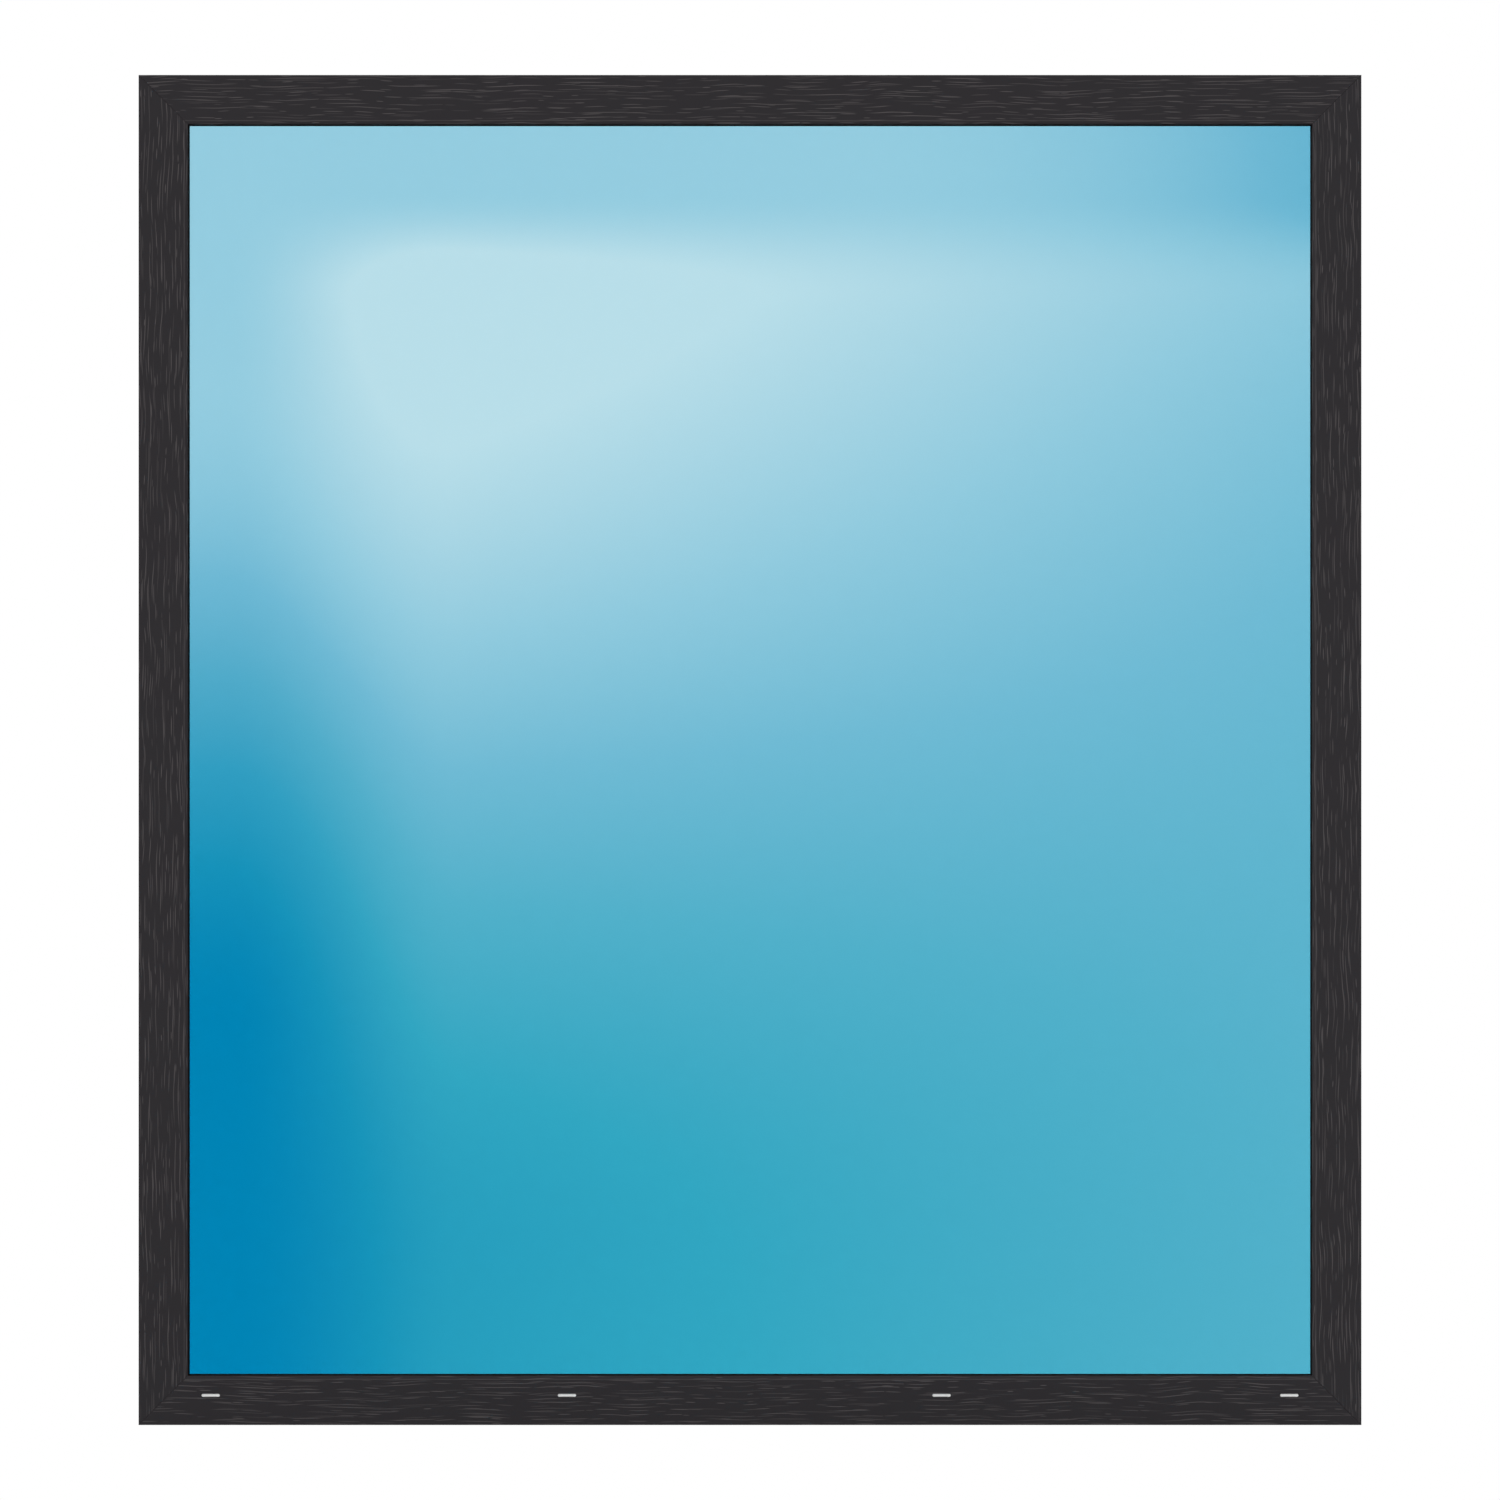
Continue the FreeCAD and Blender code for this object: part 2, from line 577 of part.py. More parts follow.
def reinforcement(side):
    """A steel channel in the frame's large chamber, cut square and short of the welds."""
    length = f"({SIDES[side][0]} - 2 * ({FLOOR} + Sizes.steel_setback))"
    outer_left = f"({STEEL_FROM} + Sizes.steel_clearance)"
    outer_right = f"({STEEL_TO} - Sizes.steel_clearance)"
    inner_left = f"({outer_left} + Sizes.steel_thickness)"
    inner_right = f"({outer_right} - Sizes.steel_thickness)"
    low = "(Sizes.back_wall + Sizes.steel_clearance)"
    high = f"({FLOOR} - Sizes.back_wall - Sizes.steel_clearance)"
    floor = f"({low} + Sizes.steel_thickness)"
    body = new_body(f"reinforcement_{side}")
    sketch = new_sketch(body, "YZ_Plane", "Section")
    draw_loop(
        sketch,
        [
            (outer_left, low), (outer_right, low), (outer_right, high), (inner_right, high),
            (inner_right, floor), (inner_left, floor), (inner_left, high), (outer_left, high),
        ],
    )  # fmt: skip
    pad = pad_both_ways(body, sketch, length)
    inside = [(inner_left, floor), (inner_right, floor)]
    outside = [(outer_left, low), (outer_right, low)]
    bent = round_edges(body, pad, "InnerBends", inside, "Sizes.steel_bend")
    round_edges(body, bent, "OuterBends", outside, "Sizes.steel_bend + Sizes.steel_thickness")
    stand_in_place(body, side)
    cut_fixings(body, side)
    return body


def bead_outline():
    """The outside of the glazing bead: foot, base, bevelled room face and flat top."""
    face = BEAD_FACE
    leg_near = f"({BEAD_FACE} + Sizes.bead_groove_inset + Sizes.root_clearance)"
    leg_far = f"({leg_near} + Sizes.bead_foot)"
    barb = f"({leg_near} - Sizes.bead_barb)"
    catch = f"({FLOOR} - Sizes.bead_groove_lip - Sizes.root_clearance)"
    toe = f"({FLOOR} - Sizes.bead_groove_depth + 2 * Sizes.root_clearance)"
    room = f"({ROOM_FACE} - Sizes.bead_setback)"
    shoulder = f"({FLOOR} + Sizes.bead_lip)"
    return [
        (face, FLOOR), (leg_near, FLOOR), (leg_near, catch), (barb, catch),
        (leg_near, toe), (leg_far, toe), (leg_far, FLOOR), (room, FLOOR),
        (room, shoulder), (f"({face} + Sizes.bead_top)", BEAD_TIP), (face, BEAD_TIP),
    ]  # fmt: skip


def bead_chamber():
    """The bead's hollow, one wall inside its outline, also along the bevel."""
    run = "(Sizes.bead_width - Sizes.bead_setback - Sizes.bead_top)"
    rise = "(Sizes.bead_height - Sizes.bead_lip)"
    bevel = f"sqrt({run} * {run} + {rise} * {rise})"
    left, bottom = f"({BEAD_FACE} + Sizes.bead_wall)", f"({FLOOR} + Sizes.bead_wall)"
    right = f"({ROOM_FACE} - Sizes.bead_setback - Sizes.bead_wall)"
    top = f"({BEAD_TIP} - Sizes.bead_wall)"
    shoulder = f"({FLOOR} + Sizes.bead_lip - Sizes.bead_wall * ({bevel} - {rise}) / {run})"
    crest = f"({BEAD_FACE} + Sizes.bead_top - Sizes.bead_wall * ({bevel} - {run}) / {rise})"
    return [(left, bottom), (right, bottom), (right, shoulder), (crest, top), (left, top)]


def glazing_bead(side):
    """A hollow bead on the room side that holds the glass in, mitred at the corners."""
    body = bar(f"glazing_bead_{side}", side, [bead_outline(), bead_chamber()])
    room = f"({ROOM_FACE} - Sizes.bead_setback)"
    edges = [(room, f"({FLOOR} + Sizes.bead_lip)"), (f"({BEAD_FACE} + Sizes.bead_top)", BEAD_TIP)]
    round_edges(body, body.Tip, "BevelRounds", edges, "Sizes.bead_round")
    cut_mitres(body, SIDES[side][0])
    return body


def outer_seal(side):
    """The black seal between flange and glass, with a barbed root and a tip over the nose."""
    flange, middle = "Sizes.flange_depth", f"({NOSE} - Sizes.seal_groove_drop)"
    neck = "(Sizes.seal_groove_mouth / 2 - Sizes.root_clearance)"
    head = "(Sizes.seal_groove_mouth / 2 + Sizes.seal_groove_undercut - Sizes.root_clearance)"
    catch = "(Sizes.flange_depth - Sizes.seal_groove_lip - Sizes.root_clearance)"
    root = "(Sizes.flange_depth - Sizes.seal_groove_depth + Sizes.root_clearance)"
    tip = f"({NOSE} + Sizes.seal_show)"
    outline = [
        (flange, f"({NOSE} - Sizes.seal_reach)"), (GLASS_OUT, f"({NOSE} - Sizes.seal_reach)"),
        (GLASS_OUT, tip), ("Sizes.flange_depth", tip),
        ("(Sizes.flange_depth - Sizes.seal_lap)", NOSE), (flange, NOSE),
        (flange, f"({middle} + {neck})"), (catch, f"({middle} + {neck})"),
        (catch, f"({middle} + {head})"), (root, f"({middle} + {neck})"),
        (root, f"({middle} - {neck})"), (catch, f"({middle} - {head})"),
        (catch, f"({middle} - {neck})"), (flange, f"({middle} - {neck})"),
    ]  # fmt: skip
    body = bar(f"outer_seal_{side}", side, [outline])
    round_edges(body, body.Tip, "TipRound", [("Sizes.flange_depth", tip)], "Sizes.seal_round")
    cut_mitres(body, SIDES[side][0])
    return body


def inner_seal(side):
    """The seal between glass and bead, whose tip laps over the bead's top."""
    tip = f"({BEAD_TIP} + Sizes.bead_seal_show)"
    foot = f"({BEAD_TIP} - Sizes.seal_reach)"
    outline = [
        (GLASS_IN, foot), (BEAD_FACE, foot), (BEAD_FACE, BEAD_TIP),
        (f"({BEAD_FACE} + Sizes.seal_lap)", BEAD_TIP), (BEAD_FACE, tip), (GLASS_IN, tip),
    ]  # fmt: skip
    body = bar(f"inner_seal_{side}", side, [outline])
    round_edges(body, body.Tip, "TipRound", [(BEAD_FACE, tip)], "Sizes.seal_round")
    cut_mitres(body, SIDES[side][0])
    return body


def bevelled_corners(left, bottom, right, top, bevel):
    """Corners of a box whose two bottom corners are bevelled."""
    return [
        (f"({left} + {bevel})", bottom), (f"({right} - {bevel})", bottom),
        (right, f"({bottom} + {bevel})"), (right, top), (left, top), (left, f"({bottom} + {bevel})"),
    ]  # fmt: skip


def spacer_bar(side):
    """A hollow spacer bar between the panes, bevelled at its back and mitred at the corners."""
    outside = bevelled_corners(CAVITY_OUT, SPACER_BACK, CAVITY_IN, SPACER_TIP, "Sizes.spacer_bevel")
    inside = bevelled_corners(
        f"({CAVITY_OUT} + Sizes.spacer_wall)",
        f"({SPACER_BACK} + Sizes.spacer_wall)",
        f"({CAVITY_IN} - Sizes.spacer_wall)",
        f"({SPACER_TIP} - Sizes.spacer_wall)",
        "(Sizes.spacer_bevel - Sizes.spacer_wall * (2 - sqrt(2)))",
    )
    body = bar(f"spacer_{side}", side, [outside, inside])
    cut_mitres(body, SIDES[side][0])
    return body


def edge_sealant(side):
    """The sealant that fills the glass unit's edge behind a spacer bar, from pane to pane."""
    shoulder, bevel = f"({SPACER_BACK} + Sizes.spacer_bevel)", "Sizes.spacer_bevel"
    outline = [
        (CAVITY_OUT, GLASS_EDGE), (CAVITY_IN, GLASS_EDGE), (CAVITY_IN, shoulder),
        (f"({CAVITY_IN} - {bevel})", SPACER_BACK), (f"({CAVITY_OUT} + {bevel})", SPACER_BACK),
        (CAVITY_OUT, shoulder),
    ]  # fmt: skip
    body = bar(f"edge_sealant_{side}", side, [outline])
    cut_mitres(body, SIDES[side][0])
    return body


def pane(label, depth):
    """A pane of glass with the arris ground off its edges."""
    body = new_body(label)
    sketch = new_sketch(body, "XZ_Plane", "Sheet")
    half = f"(Sizes.window_width / 2 - {GLASS_EDGE})"
    top = f"(Sizes.window_height - {GLASS_EDGE})"
    draw_loop(sketch, box_corners(f"(-{half})", GLASS_EDGE, half, top))
    pad = pad_inwards(body, sketch, "Sizes.pane_thickness")
    sides = [
        f"Face{number}"
        for number, face in enumerate(pad.Shape.Faces, start=1)
        if abs(abs(face.normalAt(0, 0).y) - 1) < CLOSE
    ]
    bevel = body.newObject("PartDesign::Chamfer", "Arris")
    bevel.Base = (pad, sides)
    bevel.setExpression("Size", "Sizes.glass_arris")
    body.setExpression("Placement.Base.y", f"{depth} - {ROOM_FACE} / 2")
    return body


def packer(label, side, middle):
    """A glazing packer between rebate floor and glass edge, with channels underneath."""
    left = "(Sizes.flange_depth + Sizes.packer_margin)"
    right = f"({BEAD_FACE} - Sizes.packer_margin)"
    top = GLASS_EDGE
    roof = f"({FLOOR} + Sizes.packer_channel_deep)"
    half = "(Sizes.packer_channel / 2)"
    third = f"(({right} - {left}) / 3)"
    corners = [(left, FLOOR)]
    for share in (1, 2):
        channel = f"({left} + {share} * {third})"
        corners += [
            (f"({channel} - {half})", FLOOR), (f"({channel} - {half})", roof),
            (f"({channel} + {half})", roof), (f"({channel} + {half})", FLOOR),
        ]  # fmt: skip
    corners += [(right, FLOOR), (right, top), (left, top)]
    body = new_body(label)
    sketch = new_sketch(body, "YZ_Plane", "Section")
    draw_loop(sketch, corners)
    pad_both_ways(body, sketch, "Sizes.packer_length")
    _, turn, across, up = SIDES[side]
    body.Placement.Rotation = FreeCAD.Rotation(FreeCAD.Vector(0, 1, 0), turn)
    level = turn % 180 == 0
    body.setExpression("Placement.Base.x", middle if level else across)
    body.setExpression("Placement.Base.y", f"-{ROOM_FACE} / 2")
    body.setExpression("Placement.Base.z", up if level else middle)
    return body


def make_packers():
    """Two packers on each side of the glass, the same distance from both corners."""
    half = "(Sizes.window_width / 2 - Sizes.packer_end)"
    made = []
    for side in ("sill", "head"):
        made.append(packer(f"packer_{side}_left", side, f"(-{half})"))
        made.append(packer(f"packer_{side}_right", side, half))
    for side in ("left", "right"):
        made.append(packer(f"packer_{side}_lower", side, "Sizes.packer_end"))
        made.append(packer(f"packer_{side}_upper", side, "(Sizes.window_height - Sizes.packer_end)"))
    return made


def export(bodies):
    """Checks every object of the document and each shape, then writes one STEP file a piece."""
    DOC.recompute()
    failed = [item.Label for item in DOC.Objects if {"Invalid", "Error"} & set(item.State)]
    if failed:
        raise RuntimeError(f"failed objects: {failed}")
    os.makedirs("parts", exist_ok=True)
    for body in bodies:
        shape = body.Shape
        if shape.isNull() or not shape.isValid() or len(shape.Solids) != 1:
            raise RuntimeError(f"{body.Label} is not one valid solid")
        shape.exportStep(os.path.join("parts", f"{body.Label}.step"))


def main():
    bodies = []
    for side in SIDES:
        bodies += [
            frame_bar(side),
            reinforcement(side),
            glazing_bead(side),
            outer_seal(side),
            inner_seal(side),
            spacer_bar(side),
            edge_sealant(side),
        ]
    bodies += [drain_insert(name, middle) for name, middle in DRAINS.items()]
    bodies.append(pane("outer_pane", GLASS_OUT))
    bodies.append(pane("inner_pane", CAVITY_IN))
    bodies += make_packers()
    export(bodies)


main()
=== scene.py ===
"""Finishes and stage of a fixed picture window.

The frame bars, beads, seals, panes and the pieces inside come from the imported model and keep
their shape. This file gives each of them its material, and sets the floor, light and camera.
Lengths are metres. X runs along the width, -Y faces outdoors and +Z is up.
"""

import math

import bmesh
import bpy
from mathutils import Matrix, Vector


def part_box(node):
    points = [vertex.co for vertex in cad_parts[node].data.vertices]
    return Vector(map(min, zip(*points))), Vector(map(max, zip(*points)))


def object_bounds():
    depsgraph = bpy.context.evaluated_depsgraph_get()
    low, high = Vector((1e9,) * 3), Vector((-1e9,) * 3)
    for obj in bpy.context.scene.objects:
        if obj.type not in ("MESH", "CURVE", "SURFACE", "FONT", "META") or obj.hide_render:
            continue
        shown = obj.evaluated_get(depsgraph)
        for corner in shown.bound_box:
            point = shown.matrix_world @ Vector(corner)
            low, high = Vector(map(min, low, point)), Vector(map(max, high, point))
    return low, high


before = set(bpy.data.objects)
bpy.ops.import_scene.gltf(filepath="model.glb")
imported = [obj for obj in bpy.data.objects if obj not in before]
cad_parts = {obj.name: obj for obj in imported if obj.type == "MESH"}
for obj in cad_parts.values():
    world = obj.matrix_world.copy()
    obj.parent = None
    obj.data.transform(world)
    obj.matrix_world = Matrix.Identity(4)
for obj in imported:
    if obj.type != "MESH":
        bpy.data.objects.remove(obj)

bl_info = {
    "name": "Fixed Picture Window",
    "version": (1, 0, 0),
    "blender": (4, 5, 0),
    "location": "3D View > Sidebar > Window",
    "description": "Woodgrain foil, white vinyl, seals, tinted glass and stage of a window",
    "category": "Object",
}

MM = 0.001
LOW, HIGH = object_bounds()
DEPTH = HIGH.y - LOW.y
PANE_LOW, PANE_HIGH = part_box("outer_pane")

# Each side of the frame: the axis that it runs along, the axis that leads from its back to the
# glass, and the sense of that axis
SIDES = {
    "sill": ("X", "Z", 1),
    "head": ("X", "Z", -1),
    "left": ("Z", "X", 1),
    "right": ("Z", "X", -1),
}
PACKERS = {
    "sill": ("left", "right"),
    "head": ("left", "right"),
    "left": ("lower", "upper"),
    "right": ("lower", "upper"),
}
DRAINS = ("left_end", "left_middle", "right_middle", "right_end")

# How far the grain is shifted from one bar to the next, so that no two bars match
GRAIN_SHIFT = 3.7
# How freely the grain strokes scatter, from 0 for neat rows to 1
STROKE_SCATTER = 0.9
# A grain stroke's half length in cells and its strength, each from least to most
HALF_STROKE = (0.1, 0.46)
STROKE_STRENGTH = (0.2, 1.0)
# Where a stroke starts to fade and where it ends, counted in its own half size
STROKE_FADE = (0.7, 1.1)
# Depth of the embossed ridges as a share of the strokes'
RIDGE_SHARE = 0.3
# How strong the painted highlight at the bend is, from least to most
BEND_HIGHLIGHT = (0.1, 0.6)
# Where the flank of a packer's rib starts and ends, as shares of the ribs' spacing
RIB_FLANK = (0.2, 0.3)

# Roughness of bare vinyl and foil, of rubber without and with bloom, and of the zinc coat's
# dullest and brightest crystals
FRAME_ROUGHNESS = (0.35, 0.55)
SEAL_ROUGHNESS = (0.55, 0.75)
STEEL_ROUGHNESS = (0.32, 0.48)

# The lamps' tilt from straight down, their width in the sky, and their turns about Z
LAMP_TILT = math.radians(68)
LAMP_SPREAD = math.radians(30)
OUTDOOR_TURN = math.radians(-28)
ROOM_TURN = math.radians(150)

# Colours of the outer pane with its painted sky reflection: how strong the painted reflection is,
# from 0 to 1, and the colour there. The middle tones are bluer in the border round the patch, a
# painted highlight, than in the patch.
BORDER_SKY_REFLECTION_COLOURS = (
    (0.0, "#0086B9"),
    (0.12, "#1895BE"),
    (0.27, "#35A1C6"),
    (0.43, "#56AECE"),
    (0.59, "#75BCD9"),
    (0.76, "#9ACFE4"),
    (1.0, "#C1E2EE"),
)
PATCH_SKY_HIGHLIGHT_COLOURS = (
    (0.0, "#0086B9"),
    (0.12, "#1898BE"),
    (0.27, "#35AAC6"),
    (0.43, "#57B4CF"),
    (0.59, "#76BED9"),
    (0.76, "#98CEE3"),
    (1.0, "#C1E2EE"),
)

# Ramps that make up the painted sky reflection: where each starts and ends, as shares of the glass
# that shows, from its left or its top, and the value at its start and at its end
BORDER_DOWN = (0.195, 0.725, 0.772, 0.0)
CORNER_ACROSS = (0.564, 1.0, 0.0, 0.475)
PATCH_DOWN = (-0.022, 0.917, 1.383, 0.119)
PATCH_LEFT_EDGE = (0.033, 0.243, 0.0, 1.0)
PATCH_TOP_EDGE = (0.054, 0.14, 0.0, 1.0)
# How pale the patch is at the right of the glass: at the sill, and how much the head adds
PATCH_RIGHT = 0.428
PATCH_RIGHT_RISE = 0.404
# Makes a Map Range node ease in and out
SMOOTH = {"interpolation_type": "SMOOTHSTEP"}


def linear(code):
    """An sRGB hex colour as linear red, green, blue and alpha."""
    channels = [int(code[place : place + 2], 16) / 255 for place in (1, 3, 5)]
    return (*[c / 12.92 if c <= 0.04045 else ((c + 0.055) / 1.055) ** 2.4 for c in channels], 1.0)


def colour_setting(name, description, code):
    """A colour property whose default is an sRGB hex colour."""
    return bpy.props.FloatVectorProperty(
        name=name,
        description=description,
        subtype="COLOR",
        size=4,
        min=0.0,
        max=1.0,
        default=linear(code),
    )


def length_setting(name, description, metres):
    """A length property."""
    return bpy.props.FloatProperty(
        name=name, description=description, unit="LENGTH", min=0.0, default=metres
    )


def size_setting(name, description, along, across):
    """A property for a pattern's length along a bar and its width across it."""
    return bpy.props.FloatVectorProperty(
        name=name, description=description, unit="LENGTH", size=2, default=(along, across)
    )


class FoilSettings(bpy.types.PropertyGroup):
    ground: colour_setting("Ground", "Black-brown ground of the woodgrain foil", "#1F1B1F")
    shade: colour_setting("Shade", "Ground that the foil drifts to in broad patches", "#1E1C1F")
    stroke: colour_setting("Stroke", "Printed grain strokes of the foil", "#484445")
    ink: colour_setting("Ink", "Touch-up ink in the welded corners' grooves", "#2A2729")
    core: colour_setting("Core", "White vinyl under the foil", "#EBEBE7")
    streak: colour_setting("Streak", "Streaks that the die leaves in the vinyl", "#E2E2DD")
    drift: size_setting("Drift", "Size of the ground's broad patches", 90 * MM, 90 * MM)
    long_cell: size_setting("Long Cell", "Space for each long stroke", 110 * MM, 5.4 * MM)
    short_cell: size_setting("Short Cell", "Space for each short stroke", 46 * MM, 7.6 * MM)
    stroke_width: length_setting("Stroke Width", "Width of one stroke", 1.3 * MM)
    sway: length_setting("Sway", "How far the strokes sway across a bar", 10 * MM)
    sway_cell: size_setting("Sway Cell", "Size of one sway", 110 * MM, 110 * MM)
    ridge: size_setting("Ridge", "Size of the foil's embossed ridges", 27 * MM, 1.2 * MM)
    press: length_setting("Press", "Depth of the embossed strokes", 0.05 * MM)
    die_line: size_setting("Die Line", "Size of the streaks in the vinyl", 600 * MM, 3 * MM)
    skin: length_setting("Skin", "Depth from a face that the foil and ink cover", 1.2 * MM)
    wrap: length_setting("Wrap", "How far the foil turns round a bar's back edges", 4 * MM)
    nose: length_setting("Nose", "Rise from which the foil covers the outer flange", 67.9 * MM)
    # The next three settings place a painted highlight: a pale line along the bend below the nose,
    # where the face starts to round, in patches.
    bend: length_setting("Bend", "Rise of the bend below the nose, where the foil pales", 64.5 * MM)
    highlight_width: length_setting("Bend Width", "Width of the pale line at the bend", 1.6 * MM)
    highlight_patches: size_setting("Strain", "Size of the bend's paler lengths", 33 * MM, 33 * MM)
    ink_width: length_setting("Ink Width", "Width of the ink along a mitre", 1.4 * MM)


class SealSettings(bpy.types.PropertyGroup):
    rubber: colour_setting("Rubber", "Black rubber of the seals", "#020202")
    bloom: colour_setting("Bloom", "Faint bloom on the rubber", "#070708")
    patch: length_setting("Patch", "Size of the bloom's patches", 17 * MM)


class GlassSettings(bpy.types.PropertyGroup):
    sheen: colour_setting("Sheen", "Blue that the outer pane's coat reflects", "#10A0C8")
    clear: colour_setting("Clear", "Faint green of clear float glass", "#F8FCFA")
    cover: length_setting("Cover", "Edge of a pane that the frame hides", 18.7 * MM)


class UnitEdgeSettings(bpy.types.PropertyGroup):
    spacer: colour_setting("Spacer", "Black plastic of the spacer bars", "#151516")
    # The vent holes are painted, not modelled: this dark colour is painted shade inside them.
    vent: colour_setting("Vent", "Inside of a spacer's vent holes", "#020202")
    vent_pitch: length_setting("Vent Pitch", "Spacing of a spacer's vent holes", 4 * MM)
    vent_size: length_setting("Vent Size", "Diameter of a spacer's vent holes", 0.7 * MM)
    vent_row: length_setting("Vent Row", "Distance of a row of holes from the middle", 2.6 * MM)
    vent_depth: length_setting("Vent Depth", "How deep the vent holes look", 0.2 * MM)
    sealant: colour_setting("Sealant", "Black sealant behind the spacer bars", "#1B1B1D")
    smear: colour_setting("Smear", "Knife marks in the sealant", "#0E0E0F")
    smear_size: length_setting("Smear Size", "Size of the knife marks", 7 * MM)
    smear_depth: length_setting("Smear Depth", "Depth of the knife marks", 0.2 * MM)
    packer: colour_setting("Packer", "Blue plastic of a packer's ribs", "#2F5F9E")
    packer_dip_shade: colour_setting("Packer Dip", "Blue between a packer's ribs", "#284F86")
    # The darker blue between the ribs is painted shade in the grooves.
    rib: length_setting("Rib", "Spacing of the ribs across a packer", 5 * MM)
    rib_height: length_setting("Rib Height", "Height of a packer's ribs", 0.3 * MM)


class InsertSettings(bpy.types.PropertyGroup):
    white: colour_setting("White", "White plastic of the drain inserts", "#EBEBEA")
    dull: colour_setting("Dull", "Duller spots of the spark-eroded surface", "#E3E3E2")
    grit: length_setting("Grit", "Size of the spots", 1.1 * MM)
    grit_depth: length_setting("Grit Depth", "Depth of the spots", 0.015 * MM)


class SteelSettings(bpy.types.PropertyGroup):
    bright: colour_setting("Bright", "Brightest crystals of the zinc coat", "#B4B8BC")
    dull: colour_setting("Dull", "Dullest crystals of the zinc coat", "#9DA1A5")
    crystal: length_setting("Crystal", "Size of the zinc coat's crystals", 9 * MM)


class StageSettings(bpy.types.PropertyGroup):
    floor: colour_setting("Floor", "Pale matte paint of the floor", "#F4F4F4")
    floor_size: length_setting("Floor Size", "Edge of the square floor", 60.0)
    picture: length_setting("Picture", "Edge of the square that the camera takes in", 2.1222)
    distance: length_setting("Distance", "From the camera to the outdoor face", 4.0)
    sky: bpy.props.FloatProperty(
        name="Sky", description="Strength of the white light from all round", default=0.66
    )
    key: bpy.props.FloatProperty(
        name="Key", description="Strength of the soft lamp outdoors", default=1.05
    )
    fill: bpy.props.FloatProperty(
        name="Fill", description="Strength of the soft lamp in the room", default=0.95
    )


def add(tree, kind, feeds=None, **settings):
    """Adds a shader node with its settings, sets or links its inputs, and returns its outputs."""
    node = tree.nodes.new(f"ShaderNode{kind}")
    for name, setting in settings.items():
        setattr(node, name, setting)
    for key, feed in (feeds or {}).items():
        if isinstance(feed, bpy.types.NodeSocket):
            tree.links.new(feed, node.inputs[key])
        else:
            node.inputs[key].default_value = feed
    return node.outputs


def ramp(feed, start, end, low, high):
    """Inputs of a Map Range node that goes from low at start to high at end."""
    return {"Value": feed, "From Min": start, "From Max": end, "To Min": low, "To Max": high}


def new_material(name):
    """A node material without nodes, and its tree."""
    material = bpy.data.materials.new(name)
    material.use_nodes = True
    material.node_tree.nodes.clear()
    return material, material.node_tree


def finish_material(tree, feeds):
    """Closes a material with one Principled shader."""
    shader = add(tree, "BsdfPrincipled", feeds)[0]
    add(tree, "OutputMaterial", {"Surface": shader})


def assign(node, material):
    """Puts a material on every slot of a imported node."""
    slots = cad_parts[node].material_slots
    if not slots:
        raise RuntimeError(f"{node} has no material slot")
    for slot in slots:
        slot.material = material


def bar_coordinates(tree, side):
    """A point's place on a bar: from its middle along it, its rise from the back, its depth."""
    run_axis, rise_axis, sense = SIDES[side]
    low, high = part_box(f"frame_{side}")
    middle = (low["XYZ".index(run_axis)] + high["XYZ".index(run_axis)]) / 2
    back = (low if sense > 0 else high)["XYZ".index(rise_axis)]
    split = add(tree, "SeparateXYZ", {0: add(tree, "TexCoord")["Object"]})
    run = add(tree, "Math", {0: split[run_axis], 1: middle}, operation="SUBTRACT")[0]
    rise = add(
        tree, "Math", {0: split[rise_axis], 1: sense, 2: -sense * back}, operation="MULTIPLY_ADD"
    )[0]
    depth = add(tree, "Math", {0: split["Y"], 1: LOW.y}, operation="SUBTRACT")[0]
    return run, rise, depth


def nearest_face(tree, depth):
    """Distance in depth to the nearer of the outdoor and room faces."""
    inner = add(tree, "Math", {0: DEPTH, 1: depth}, operation="SUBTRACT")[0]
    return add(tree, "Math", {0: depth, 1: inner}, operation="MINIMUM")[0]


def foil_place(tree, run, rise, near, number):
    """A point's place on a bar's foil laid flat: along the bar, and round from its back."""
    along = add(tree, "Math", {0: run, 1: GRAIN_SHIFT * number}, operation="ADD")[0]
    around = add(tree, "Math", {0: rise, 1: near}, operation="ADD")[0]
    return add(tree, "CombineXYZ", {0: along, 1: around})[0]


def in_cells(tree, place, cell):
    """A place on the foil counted in cells of a length along the bar and a width across it."""
    counts = (1 / cell[0], 1 / cell[1], 0.0)
    return add(tree, "VectorMath", {0: place, 1: counts}, operation="MULTIPLY")[0]


def patches(tree, place, cell, detail=2.0):
    """Soft noise from 0 to 1 on the foil, with patches as large as a cell."""
    feeds = {"Vector": in_cells(tree, place, cell), "Scale": 1.0, "Detail": detail}
    return add(tree, "TexNoise", feeds, noise_dimensions="2D")[0]


def strokes(tree, place, cell, width):
    """Scattered pointed strokes on the foil, one to a cell: 1 in a stroke and 0 beside it."""
    spot = in_cells(tree, place, cell)
    feeds = {"Vector": spot, "Scale": 1.0, "Randomness": STROKE_SCATTER}
    scatter = add(tree, "TexVoronoi", feeds, voronoi_dimensions="2D")
    offset = add(tree, "VectorMath", {0: spot, 1: scatter["Position"]}, operation="SUBTRACT")[0]
    chance = add(tree, "SeparateColor", {0: scatter["Color"]})
    half_length = add(tree, "MapRange", ramp(chance[0], 0.0, 1.0, *HALF_STROKE))[0]
    half_size = add(tree, "CombineXYZ", {0: half_length, 1: 0.5 * width / cell[1], 2: 1.0})[0]
    reach = add(tree, "VectorMath", {0: offset, 1: half_size}, operation="DIVIDE")[0]
    radius = add(tree, "VectorMath", {0: reach}, operation="LENGTH")["Value"]
    inside = add(tree, "MapRange", ramp(radius, *STROKE_FADE, 1.0, 0.0))[0]
    strength = add(tree, "MapRange", ramp(chance[1], 0.0, 1.0, *STROKE_STRENGTH))[0]
    return add(tree, "Math", {0: inside, 1: strength}, operation="MULTIPLY")[0]


